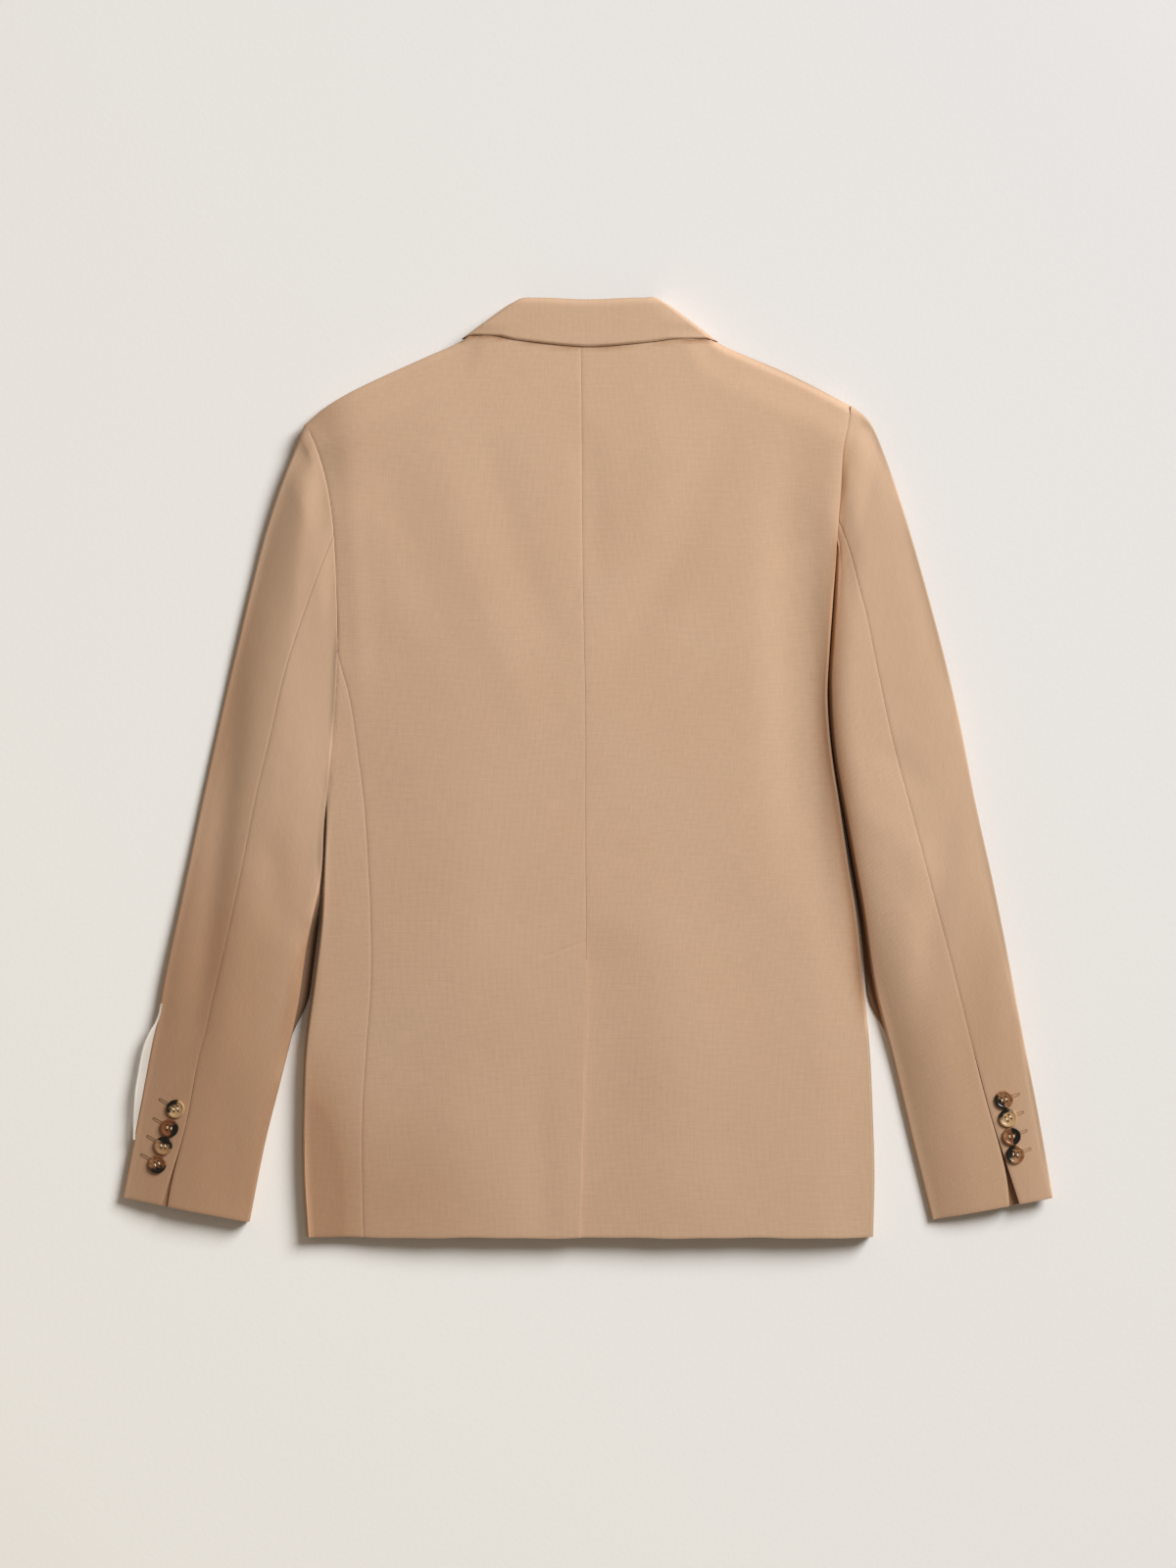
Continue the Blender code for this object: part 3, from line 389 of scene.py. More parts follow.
def panel_skin(field, u, v, inset, height, mid, open_edge):
    """One skin of a panel: rows up to the shoulder, then round over at its seam.

    Where open_edge is 1 the panel ends flat, at the neck.
    """
    step = abs(field(u, 1.0) - field(u, 1.0 - CORNER)) / CORNER
    place = field(u, v[:, None])
    up = 1.0 if height(place[:1, :1])[0, 0] >= mid else -1.0
    flat = height(place) - up * inset
    angle = np.linspace(90.0, 0.0, SHOULDER_STEPS)[:, None]
    slide = (90.0 - angle) / 90.0 * open_edge * SHOULDER_NOSE
    round_angle = np.radians(mix(angle, 90.0, open_edge))
    reach = turned(round_angle, 0.0, 0.0, SHOULDER_NOSE, inset)[0]
    back = SHOULDER_NOSE * open_edge - slide
    over = field(u, 1.0 - (reach * (1 - open_edge) + back) / step)
    z = turned(round_angle, height(over), mid, SHOULDER_NOSE, inset)[1]
    return np.concatenate([place, over]), np.concatenate([flat, z])


def neck_share(shoulder, neck, from_tip):
    """How far a column of a panel ends at the neck, where nothing rounds it over."""
    length = np.sum(abs(np.diff(shoulder)))
    turn = length / (length + np.sum(abs(np.diff(neck))))
    return lambda u: smooth(((u if from_tip else 1.0 - u) - turn + NECK_TURN) / NECK_EASE)


def put(name, data):
    """Puts a mesh, a lamp or a camera in the scene under a name."""
    made = bpy.data.objects.new(name, data)
    bpy.context.scene.collection.objects.link(made)
    return made


def shell(name, outer, inner, keep=None, extra_shade=0.0):
    """A closed piece of cloth between two skins, each (places, heights) on a grid.

    It carries the way across and along its own weave as the attribute "grain", and
    how much painted shade it takes as "depth".
    """
    rows, columns = outer[0].shape
    skins = [np.dstack([p.real, p.imag, z]) for p, z in (outer, inner)]
    number = np.arange(rows * columns).reshape(rows, columns)
    used = np.ones((rows - 1, columns - 1), bool)
    if keep is not None:
        used = np.array([[keep(i, j) for j in range(columns - 1)] for i in range(rows - 1)])
    ring = np.dstack([number[:-1, :-1], number[:-1, 1:], number[1:, 1:], number[1:, :-1]])[used]
    rim = set()
    for corners in ring.tolist():
        for a, b in zip(corners, corners[1:] + corners[:1]):
            rim ^= {(a, b)} if (b, a) not in rim else {(b, a)}
    below = rows * columns
    faces = ring.tolist() + (ring[:, ::-1] + below).tolist()
    faces += [(b, a, a + below, b + below) for a, b in sorted(rim)]
    points = np.concatenate([s.reshape(-1, 3) for s in skins]) * MM
    mesh = bpy.data.meshes.new(name)
    mesh.from_pydata(points.tolist(), [], faces)

    face = skins[0]
    steps = [np.diff(face, axis=1, prepend=face[:, :1]), np.diff(face, axis=0, prepend=face[:1])]
    across, down = [np.cumsum(np.linalg.norm(s, axis=2), axis=1 - k) for k, s in enumerate(steps)]
    across -= across[:, columns // 2:columns // 2 + 1]
    thread = np.dstack([across, down, np.zeros_like(down)]).reshape(-1, 3) * MM
    grain = mesh.attributes.new("grain", "FLOAT_VECTOR", "POINT")
    grain.data.foreach_set("vector", np.concatenate([thread, thread]).ravel())
    depth = mesh.attributes.new("depth", "FLOAT", "POINT")
    shaded = [(painted_shade(place) + crevice_shade(place) + extra_shade).ravel()
            for place in (outer[0], inner[0])]
    depth.data.foreach_set("value", np.concatenate(shaded))

    bm = bmesh.new()
    bm.from_mesh(mesh)
    bmesh.ops.delete(bm, geom=[v for v in bm.verts if not v.link_faces], context="VERTS")
    bmesh.ops.recalc_face_normals(bm, faces=bm.faces)
    bm.to_mesh(mesh)
    bm.free()
    mesh.shade_smooth()
    mesh.set_sharp_from_angle(angle=math.radians(60))
    return put(name, mesh)


def linear(code):
    """An sRGB hex colour as linear light."""
    shares = [int(code[k:k + 2], 16) / 255 for k in (1, 3, 5)]
    return (*[c / 12.92 if c <= 0.04045 else ((c + 0.055) / 1.055) ** 2.4 for c in shares], 1.0)


def plug(tree, node, sockets):
    """Gives each socket a value or another node's output."""
    for key, value in sockets.items():
        if isinstance(value, bpy.types.NodeSocket):
            tree.links.new(node.inputs[key], value)
        else:
            node.inputs[key].default_value = value


def add(tree, kind, sockets, out=0, **own):
    """Adds a node with its own settings and its sockets filled; gives one of its outputs."""
    node = tree.nodes.new(kind)
    for key, value in own.items():
        setattr(node, key, value)
    plug(tree, node, sockets)
    return node.outputs[out]


def figure(tree, operation, *values):
    return add(tree, "ShaderNodeMath", dict(enumerate(values)), operation=operation)


def ranged(tree, value, low, high, to_low=0.0, to_high=1.0):
    """A value from low..high taken to to_low..to_high, and no further."""
    return add(tree, "ShaderNodeMapRange", {
        "Value": value, "From Min": low, "From Max": high, "To Min": to_low, "To Max": to_high})


def blend(tree, share, low, high):
    return add(tree, "ShaderNodeMix", {0: share, 6: low, 7: high}, 2, data_type="RGBA")


def noise(tree, vector, scale, detail, **more):
    return add(tree, "ShaderNodeTexNoise",
               {"Vector": vector, "Scale": scale, "Detail": detail, **more}, "Fac")


def carried(tree, name, out="Vector"):
    """An attribute that the mesh carries."""
    return add(tree, "ShaderNodeAttribute", {}, out, attribute_name=name)


def surface(name):
    """A new material, its node tree and its shader."""
    made = bpy.data.materials.new(name)
    made.use_nodes = True
    return made, made.node_tree, made.node_tree.nodes["Principled BSDF"]


WOOL_TAN = "#CAAC91"
WOOL_WARM = "#C4A386"
WOOL_SHADED = "#B08A6C"
WOOL_FIBRE = "#E2CBB0"
THREAD = 0.9           # spacing of the threads; the real 0.45 mm is too fine to draw
SLUB_LENGTH = 15.0     # a thicker stretch of yarn
SLUB_WIDTH = 1.3       # drawn three threads wide, for the same reason
RIM_SHADE_SHARE = 0.66    # an edge with painted shade gives back this share of the light


def woven(name, base, warm, shaded, fibre, contrast):
    """A plain weave that follows its piece: a faint cross-hatch of uneven yarns.

    It is matt, and fine fibres standing off it give a soft sheen where it turns away.
    A depth of up to 1 paints shade as a deeper colour and more paints it darker; below 0 a greyer
    painted shade.
    """
    made, tree, shader = surface(name)
    grain = carried(tree, "grain")
    slubs = []
    for across, along_it in ((SLUB_LENGTH, SLUB_WIDTH), (SLUB_WIDTH, SLUB_LENGTH)):
        scale = (1 / (across * MM), 1 / (along_it * MM), 1.0)
        yarn = add(tree, "ShaderNodeMapping", {"Vector": grain, "Scale": scale})
        slubs.append(noise(tree, yarn, 1.0, 2.0))
    hatch = figure(tree, "ADD", *slubs)
    tint = blend(tree, noise(tree, grain, 9.0, 3.0), linear(base), linear(warm))
    # painted shade: the depth the mesh carries deepens, darkens or greys the colour
    depth = carried(tree, "depth", "Fac")
    tint = blend(tree, depth, tint, linear(shaded))
    shade = ranged(tree, hatch, 0.6, 1.4, 1 - contrast, 1 + contrast)
    shade = figure(tree, "MULTIPLY", shade, ranged(tree, depth, 0.9, 2.0, 1.0, 0.4))
    shade = figure(tree, "MULTIPLY", shade, ranged(tree, depth, -1.0, 0.0, RIM_SHADE_SHARE, 1.0))
    colour = add(tree, "ShaderNodeVectorMath", {0: tint, "Scale": shade}, operation="SCALE")

    scale = math.tau / 20 / (THREAD * MM)
    waves = [
        add(tree, "ShaderNodeTexWave", {"Vector": grain, "Scale": scale}, "Fac", bands_direction=way)
        for way in ("X", "Y")]
    relief = figure(tree, "MULTIPLY_ADD", hatch, 0.7, figure(tree, "MULTIPLY", *waves))
    bump = add(tree, "ShaderNodeBump",
               {"Height": relief, "Strength": 0.35, "Distance": 0.25 * MM})
    plug(tree, shader, {
        "Base Color": colour, "Normal": bump, "Roughness": 0.88, "IOR": 1.5,
        "Specular IOR Level": 0.25, "Sheen Weight": 0.06, "Sheen Roughness": 0.45,
        "Sheen Tint": linear(fibre)})
    return made


wool = woven("worsted_plain_weave", WOOL_TAN, WOOL_WARM, WOOL_SHADED, WOOL_FIBRE, 0.055)


def finish_cloth(piece, node, material):
    """Dresses a cloth piece, hangs it on the root and hides the part it stands for."""
    piece.data.materials.append(material)
    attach(piece, "root")
    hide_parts(node)


def hem_wave(place):
    """Lets a pressed hem stray a little from straight."""
    x = place.real
    stray = HEM_WAVE * (np.sin(x / 17 + 0.4) + 0.6 * np.sin(x / 7.3 + 1.9))
    return place + 1j * stray * (1 - smooth((place.imag - HEM_Y) / HEM_WAVE_FADE))


def back_rows():
    """Rows of a back panel, closer together at the hem and at the head of the vent."""
    length = NECK_Y - HEM_Y
    rows = marks(length, end=False) * (1 - SHOULDER_START / length)
    tack = (np.arange(VENT_TOP - TACK_DROP - 3, VENT_TOP + 6, TACK_STEP) - HEM_Y) / length
    return np.unique(np.concatenate([rows, tack]).round(5))


def centre_line(v, shift):
    """A back panel's edge down the middle."""
    y = mix(HEM_Y, NECK_Y, v)
    return body("centre", y) + shift + 1j * y


def centre_sewn(place):
    """1 where the centre seam is sewn, 0 along the vent, and how deep the seam lies."""
    sewn = smooth((place.imag - VENT_TOP) / SEWN_FADE)
    return sewn, SEAM_DIP * mix(CENTRE_DIP, 1.0, smooth((place.imag - CENTRE_FROM) / CENTRE_OVER))


def make_back_left():
    side = side_line("seam_left", ARMHOLE_LEFT, ARMPIT_LEFT, ARMHOLE_START_LEFT, SEAM / 2)

    def centre(v):
        return centre_line(v, -SEAM / 2)

    def top(u):
        return top_edge(side(1.0), centre(1.0), path(SHOULDER_LEFT + NECKLINE_LEFT[1:], u), u)

    field = patch(lambda u: mix(side(0.0), centre(0.0), u), top, side, centre)
    tack = 1 - np.arange(0, TACK_LEFT, 1.6) / BACK_LEFT_WIDTH
    columns = np.unique(np.concatenate([marks(BACK_LEFT_WIDTH), tack]).round(5))
    open_edge = neck_share(SHOULDER_LEFT, NECKLINE_LEFT, True)(columns)
    skins = []
    for inset in (0.0, CLOTH):
        place, z = panel_skin(field, columns, back_rows(), inset, back_top,
                              SHOULDER_MID + SEAM / 2, open_edge)
        if inset == 0.0:
            sewn, seam_dip = centre_sewn(place)
            armhole = smooth((place.imag - ARMPIT_LEFT) / ARMHOLE_FADE_IN)
            z = z - dip(abs(place - place[:, :1]), mix(SEAM_DIP, ARMHOLE_DIP, armhole))
            soft = smooth((VENT_SOFT - place.imag) / VENT_SOFT_FADE)
            edge_round = EDGE_ROUND * mix(VENT_SHARP, 1.0, soft)
            z = z - dip(abs(place - place[:, -1:]), mix(edge_round, seam_dip, sewn))
            z = z - dip(place.imag - HEM_Y, EDGE_ROUND)
            line = VENT_TOP - 1 - TACK_DROP * (-place.real / TACK_LEFT)
            out, near = TACK_FADE
            faint = smooth((place.real + TACK_LEFT) / out) * smooth(-place.real / near)
            z = z - faint * dip(place.imag - line, TACK_DEPTH, TACK_HALF)
        skins.append((hem_wave(place), z))
    piece = shell("back_panel_left", *skins)
    finish_cloth(piece, "back_left", wool)


def make_back_right():
    def nosed(v):
        y = mix(HEM_Y, ARMPIT_RIGHT, np.clip(v / ARMHOLE_START_RIGHT, 0.0, 1.0))
        spot = side_line("fold_right", ARMHOLE_RIGHT, ARMPIT_RIGHT, ARMHOLE_START_RIGHT, -SEAM / 2)(v)
        return np.where(v <= ARMHOLE_START_RIGHT, spot - nose_right(y), spot)

    def centre(v):
        return centre_line(v, SEAM / 2)

    def top(u):
        line = path(SHOULDER_RIGHT + NECKLINE_RIGHT[1:], 1.0 - u)
        return top_edge(centre(1.0), nosed(1.0), line, u)

    def height(place):
        return back_top(place) - vent_drop(place)

    field = patch(lambda u: mix(centre(0.0), nosed(0.0), u), top, centre, nosed)
    columns = marks(BACK_RIGHT_WIDTH)
    rows = back_rows()
    open_edge = neck_share(SHOULDER_RIGHT, NECKLINE_RIGHT, False)(columns)
    angles = np.radians(np.arange(75.0, -51.0, -12.5))
    lap = np.arange(VENT_LAP, 0.0, -STEP)
    side_row = int(np.sum(rows < ARMHOLE_START_RIGHT))
    skins = []
    for inset in (0.0, CLOTH):
        place, z = panel_skin(field, columns, rows, inset, height,
                              SHOULDER_MID + SEAM / 2, open_edge)
        if inset == 0.0:
            sewn, seam_dip = centre_sewn(place)
            z = z - dip(abs(place - place[:, :1]), seam_dip * sewn)
            armhole = smooth((place.imag - ARMPIT_RIGHT + SEWN_FADE / 2) / SEWN_FADE)
            z = z - dip(abs(place - place[:, -1:]), ARMHOLE_DIP * armhole)
            z = z - dip(place.imag - HEM_Y, EDGE_ROUND)
        under = place[:, :1] - lap
        under_z = height(under) - inset
        y = place[:, -1:].imag
        edge = body("edge_right", y)
        reach, round_z = turned(angles, edge, edge / 2, nose_right(y), inset)
        fold = body("fold_right", y) - reach + 1j * y
        wall = z[:, -1:] - ARMHOLE_WALL * np.linspace(0.05, 1.0, len(angles))
        above = np.arange(len(place))[:, None] >= side_row
        fold = np.where(above, place[:, -1:] - inset, fold)
        round_z = np.where(above, wall, round_z)
        place = np.concatenate([under, place, fold], axis=1)
        skins.append((hem_wave(place), np.concatenate([under_z, z, round_z], axis=1)))
    heights = mix(HEM_Y, NECK_Y, rows)
    vent_row = int(np.sum(heights < VENT_TOP - VENT_TACK)) - 1

    def keep(i, j):
        return j >= len(lap) or i < vent_row

    piece = shell("back_panel_right", *skins, keep=keep)
    finish_cloth(piece, "back_right", wool)


def nose_right(y):
    """Reach of the right side fold's nose, tight at the armpit."""
    near = smooth((y - ARMPIT_RIGHT + ARMPIT_NOSE_FADE) / ARMPIT_NOSE_FADE)
    return mix(SIDE_NOSE_RIGHT, ARMPIT_NOSE, near)


make_back_left()
make_back_right()


# ---------------------------------------------------------------- side panels
# The side panels carry the cloth round under the arms. The left one's seam to the
# back lies on top, as a hairline; the right one is rolled wholly underneath.

FRONT_LIFT = 3.0       # fronts where lapels and buttons lie under them
LAPEL_FOOT = -80.0     # a lapel lifts its front from this height up, and this far out
LAPEL_OUT = 205.0
EDGE_LIFT_LEFT = -100.0      # the buttons lift the fronts' edges, from these lines in
EDGE_LIFT_RIGHT = 62.0
OVERLAP_LIFT = CLOTH + LAY   # the right front lies on the left one, in from this line
OVERLAP_X = 44.0
OVERLAP_TOP = 100.0


def front_form(side, place):
    """Height of a front's outer, lower face over the surface."""
    x, y = place.real, place.imag
    lapel = smooth((y - LAPEL_FOOT) / 50.0) * smooth((LAPEL_OUT - abs(x)) / 35.0)
    if side == "left":
        return FRONT_LIFT * np.maximum(lapel, smooth((x - EDGE_LIFT_LEFT) / 42.0))
    edge = smooth((EDGE_LIFT_RIGHT - x) / 42.0)
    over = smooth((OVERLAP_X - x) / 32.0) * (1 - smooth((y - OVERLAP_TOP) / 50.0))
    return FRONT_LIFT * np.maximum(lapel, edge) + OVERLAP_LIFT * over


# Where the cloth underneath lifts a little off the surface.
UNDER_CREASES = [
    (-150, -330, -90, -150, 10, 0.9, 6), (150, -320, 110, -120, 12, 0.8, -8),
    (-180, 20, -90, 90, 11, 0.7, 10), (180, 60, 90, 130, 12, 0.8, -8),
    (-120, -60, -100, 80, 9, 0.5, 5), (120, -40, 140, 90, 10, 0.6, -5),
]


def front_base(side, place):
    return front_form(side, place) + lift(UNDER_CREASES, place)


def make_side_left():
    y = mix(HEM_Y, ARMPIT_LEFT, marks(460.0, step=5.0))[:, None]
    fold, edge = body("fold_left", y), body("edge_left", y)
    nose = fold + SIDE_NOSE_LEFT
    top_share = marks(38.0, end=False)
    angles = np.radians(FOLD_ANGLES)
    flats = np.where(angles > 0, edge, 0.0)
    skins = []
    for inset in (0.0, CLOTH):
        above = mix(body("seam_left", y) - SEAM / 2, nose, top_share) + 1j * y
        above_z = back_top(above) - inset
        reach, round_z = turned(abs(angles), flats, edge / 2, SIDE_NOSE_LEFT, inset)
        below = mix(nose, body("front_left", y) - SEAM / 2, marks(58.0, start=False)) + 1j * y
        below_z = front_base("left", below) + inset
        if inset == 0.0:
            above_z = above_z - dip(abs(above - above[:, :1])) - dip(above.imag - HEM_Y, EDGE_ROUND)
        place = np.concatenate([above, fold + reach + 1j * y, below], axis=1)
        skins.append((hem_wave(place), np.concatenate([above_z, round_z, below_z], axis=1)))
    piece = shell("side_panel_left", *skins)
    finish_cloth(piece, "side_left", wool)


def make_side_right():
    y = mix(HEM_Y, ARMPIT_RIGHT, marks(546.0, step=6.0))[:, None]
    fold, edge, nose = body("fold_right", y), body("edge_right", y), nose_right(y)
    angles = np.radians([58.0, 66.0, 74.0, 82.0])
    skins = []
    for inset in (0.0, CLOTH):
        reach, round_z = turned(angles, 0.0 * y, edge / 2, nose, inset)
        below = mix(fold - nose, body("front_right", y) + SEAM / 2, marks(110.0, start=False)) + 1j * y
        place = np.concatenate([fold - reach + 1j * y, below], axis=1)
        z = np.concatenate([round_z, front_base("right", below) + inset], axis=1)
        skins.append((hem_wave(place), z))
    piece = shell("side_panel_right", *skins)
    finish_cloth(piece, "side_right", wool)


make_side_left()
make_side_right()


# ---------------------------------------------------------------- fronts and lapels
# The two fronts lie face down, the wearer's left over the right; seen only from
# below. Their lapels are turned back flat against the surface.

FRONT_HEM_Y = -366.0
FRONT_ROWS_END = 0.982  # share of a front's height at which it starts to round over
LAPEL_CLOTH = 2.2      # a lapel is front and facing together
FRONT_EDGE_LEFT = [
    -60 - 366j, -32 - 358j, -13 - 335j, -8 - 300j, -8 - 150j, -8 - 5j, -30 + 95j,
    -53 + 200j, -75 + 300j, -88 + 341j,
]
FRONT_EDGE_RIGHT = [
    4 - 366j, -24 - 358j, -43 - 335j, -48 - 300j, -48 - 150j, -48 - 5j, -7 + 95j,
    37 + 200j, 78 + 300j, 90 + 340j,
]
Leaf = namedtuple("Leaf", "roll edge")
LAPEL_LEFT = [
    Leaf(-13 + 6j, -17 + 4j), Leaf(-25 + 60j, -47 + 50j), Leaf(-39 + 122j, -82 + 105j),
    Leaf(-54 + 190j, -114 + 170j), Leaf(-71 + 262j, -142 + 233j),
]
LAPEL_RIGHT = [
    Leaf(-12 + 74j, -6 + 70j), Leaf(8 + 120j, 30 + 96j), Leaf(29 + 170j, 66 + 132j),
    Leaf(46 + 212j, 100 + 178j), Leaf(67 + 262j, 134 + 233j),
]


def along(rows, column, share):
    """A column of a table at shares of the way from its first row to its last."""
    values = [getattr(row, column) for row in rows]
    return cubic(np.linspace(0, 1, len(rows)), values, share)


def make_front(side, armhole, armpit, start, shoulder, front_edge, shift):
    seam = side_line("front_" + side, armhole, armpit, start, shift, FRONT_HEM_Y)

    def edge(v):
        return path(front_edge, v)

    def top(u):
        return top_edge(seam(1.0), edge(1.0), path(shoulder, u), u)

    field = patch(lambda u: mix(seam(0.0), edge(0.0), u), top, seam, edge)
    rows = marks(700.0, step=6.0, end=False) * FRONT_ROWS_END
    columns = marks(140.0, step=6.0)
    skins = [
        panel_skin(field, columns, rows, inset, lambda place: front_base(side, place),
                   SHOULDER_MID - SEAM / 2, 0.0 * columns)
        for inset in (0.0, CLOTH)]
    piece = shell("front_panel_" + side, *skins)
    finish_cloth(piece, "front_" + side, wool)


def make_lapel(side, leaves):
    share = marks(250.0, step=5.0)[:, None]
    across = marks(70.0, step=4.0)
    place = mix(along(leaves, "roll", share), along(leaves, "edge", share), across)
    gap = np.minimum(np.minimum(abs(place - place[:, -1:]), abs(place - place[-1:])),
                     abs(place - place[:1]))
    round_off = dip(gap, LAPEL_CLOTH / 3, 0.8)
    piece = shell("lapel_leaf_" + side, (place, LAPEL_CLOTH - round_off), (place, 0.3 * round_off))
    finish_cloth(piece, "lapel_" + side, wool)


make_front("left", ARMHOLE_LEFT, ARMPIT_LEFT, ARMHOLE_START_LEFT, SHOULDER_LEFT, FRONT_EDGE_LEFT,
           SEAM / 2)
make_front("right", ARMHOLE_RIGHT, ARMPIT_RIGHT, ARMHOLE_START_RIGHT, SHOULDER_RIGHT,
           FRONT_EDGE_RIGHT, -SEAM / 2)
make_lapel("left", LAPEL_LEFT)
make_lapel("right", LAPEL_RIGHT)


# ---------------------------------------------------------------- collar
# The collar's fall and, inside it, the stand: one band of the same wool, folded
# along its roll line, wrapped round the neck and lying on the back.

Band = namedtuple("Band", "fold edge stand neck")
COLLAR_UNDER_LEFT = [
    Band(-73 + 268j, -118 + 262j, -63 + 300j, -73.5 + 300j),
    Band(-68 + 306j, -115 + 292j, -61 + 312j, -76.5 + 311j),
    Band(-61 + 345j, -106 + 322j, -57 + 340j, -81 + 326j),
    Band(-58 + 367j, -99 + 337.2j, -54 + 363j, -84.5 + 341j),
]
COLLAR_TOP = [
    Band(-58 + 367j, -99 + 337.2j, -54 + 363j, -84.5 + 341j),
    Band(-51 + 368j, -80 + 341j, -48 + 364.4j, -77 + 340.4j),
    Band(-31 + 368.2j, -55 + 335.5j, -30 + 364.5j, -50 + 340.4j),
    Band(0 + 367j, 0 + 330.2j, 0 + 363.5j, -2 + 340.4j),
    Band(34 + 368.2j, 50 + 334j, 33 + 364.5j, 50 + 340.4j),
    Band(54 + 368j, 82 + 338j, 51 + 364.4j, 79 + 340.4j),
    Band(61 + 366j, 102.5 + 335j, 57 + 362j, 87 + 341j),
]
COLLAR_UNDER_RIGHT = [
    Band(61 + 366j, 102.5 + 335j, 57 + 362j, 87 + 341j),
    Band(64 + 345j, 108 + 320j, 60 + 340j, 83.5 + 326j),
    Band(69 + 306j, 112 + 292j, 64 + 312j, 79 + 311j),
    Band(70 + 268j, 114 + 262j, 66 + 300j, 76.5 + 300j),
]
COLLAR_NOSE = 9.0
COLLAR_CORNER = 2.5    # its two top corners are rounded off by this much
CORNER_SHARE = 0.1     # over this share of the way down from the fold
STAND_NOSE = 7.0
COLLAR_LAY = 0.3       # gap under the fall where it lies on the back
STAND_DROP = 1.6
FALL_RISE = 1.2        # the fall stands this much higher at its fold than at its edge
FOLD_ROUND = 1.6       # the fold's upper face rolls over by this much, over this share
FOLD_SHARE = 0.07
UNDER_END = 0.92       # shares of the under and top layers where the turns between begin
TOP_START = 0.26
TOP_COLUMNS = 49
COLLAR_HEIGHT = 340.0  # beyond these the back's height is read no further up
STAND_HEIGHT = 336.0
COLLAR_EDGE = (0.7, 0.9)     # how deep and how wide the fall's free edge is pressed


def collar_band(edges, nose, spread, inset, top_height, base):
    """One skin of a band round the neck; spread runs from its fold to its lower edge."""
    def ends(rows, share):
        first, second = [along(rows, edge, share) for edge in edges]
        return mix(first, second, spread[:, None])

    def reached(edge, end, reach):
        line = [getattr(row, edge) for row in COLLAR_TOP]
        share = reach / np.sum(abs(np.diff(line)))
        return path(line, 1.0 - share if end else share)

    def turn(end, angles):
        def at(reach):
            corner = reached(edges[0], end, COLLAR_CORNER) - reached(edges[0], end, 0.0)
            fold, edge = [reached(name, end, reach) for name in edges]
            return mix(fold, edge, down) + corner * np.exp(-(down / CORNER_SHARE) ** 2)

        top = top_height(at(nose), down)
        flat = np.where(angles > 0, top, base)
        reach, z = turned(np.radians(abs(angles)), flat, (top + base) / 2, nose, inset)
        return at(reach), z

    down = spread[:, None]
    angles = np.arange(-90.0, 91.0, 15.0)
    under = marks(100.0, step=4.0, end=False)[:-1] * UNDER_END
    top = ends(COLLAR_TOP, np.linspace(TOP_START, 1.0 - TOP_START, TOP_COLUMNS))
    parts = [
        (ends(COLLAR_UNDER_LEFT, under), base + inset), turn(0, angles),
        (top, top_height(top, down) - inset), turn(1, angles[::-1]),
        (ends(COLLAR_UNDER_RIGHT, 1 - under[::-1]), base + inset)]
    heights = [z + 0.0 * place.real for place, z in parts]
    return np.concatenate([place for place, _ in parts], axis=1), np.concatenate(heights, axis=1)


def make_collar():
    def top_height(place, spread):
        on_back = place.real + 1j * np.minimum(place.imag, COLLAR_HEIGHT)
        rise = COLLAR_LAY + FALL_RISE * (1 - spread) - dip(spread, FOLD_ROUND, FOLD_SHARE)
        return back_top(on_back) + CLOTH + rise

    spread = marks(42.0, step=2.5)
    skins = []
    for inset in (0.0, CLOTH):
        place, z = collar_band(("fold", "edge"), COLLAR_NOSE, spread, inset, top_height, 0.0)
        if inset == 0.0:
            edge_press_and_rim_shade = dip(abs(place - place[-1:]), *COLLAR_EDGE)
            z = z - np.where(z > COLLAR_NOSE * 2 / 3, edge_press_and_rim_shade, 0.0)
        skins.append((place, z))
    piece = shell("collar_fall", *skins)
    finish_cloth(piece, "collar", wool)


def make_collar_stand():
    def top_height(place, spread):
        on_back = place.real + 1j * np.minimum(place.imag, STAND_HEIGHT)
        return back_top(on_back) - STAND_DROP

    spread = marks(26.0, step=3.0)
    skins = [
        collar_band(("stand", "neck"), STAND_NOSE, spread, inset, top_height, CLOTH + LAY)
        for inset in (0.0, CLOTH)]
    piece = shell("collar_stand_band", *skins)
    finish_cloth(piece, "collar_stand", wool)


make_collar()
make_collar_stand()


# ---------------------------------------------------------------- sleeves
# Two-piece sleeves, eased into the armholes. The back seam runs down the top face
# to the cuff's vent; the forearm seam is underneath. The left one rides over the side.

SLEEVE_LENGTH = 640.0  # for spacing its rows, and the width of each half for its columns
SLEEVE_FACE = 45.0
SLEEVE_ROW = 4.5
# Each half: its name, its fold (0 outer, 1 inner), the station's column with its seam at
# the cuff, and its cut's width and how much of that box it fills.
SLEEVE_HALVES = [
    ("top_sleeve_", 0.0, "seam", 150, 0.74), ("under_sleeve_", 1.0, "seam_under", 100, 0.64)]
ARMHOLE_GAP = 0.1      # how far a sleeve stands off the armhole's line at its very head
ARMHOLE_SEWN = 0.05
ARMHOLE_MEET = 40.0    # a sleeve comes level with the body over this length
LEVEL_FROM = 0.5       # but from this share of its width in, less and less
LEVEL_OVER = 0.35
ARMHOLE_FADE = 0.4     # share of the sleeve over which the armhole's bow dies out
ARMHOLE_TURN = 0.1     # share over which its folds turn from the armhole's line
ARMHOLE_SQUARE = 0.04  # share below which places are laid square to a fold
SLEEVE_NOSES = {"left": (3.0, 1.8), "right": (1.6, 3.0)}     # reach of the outer and inner fold
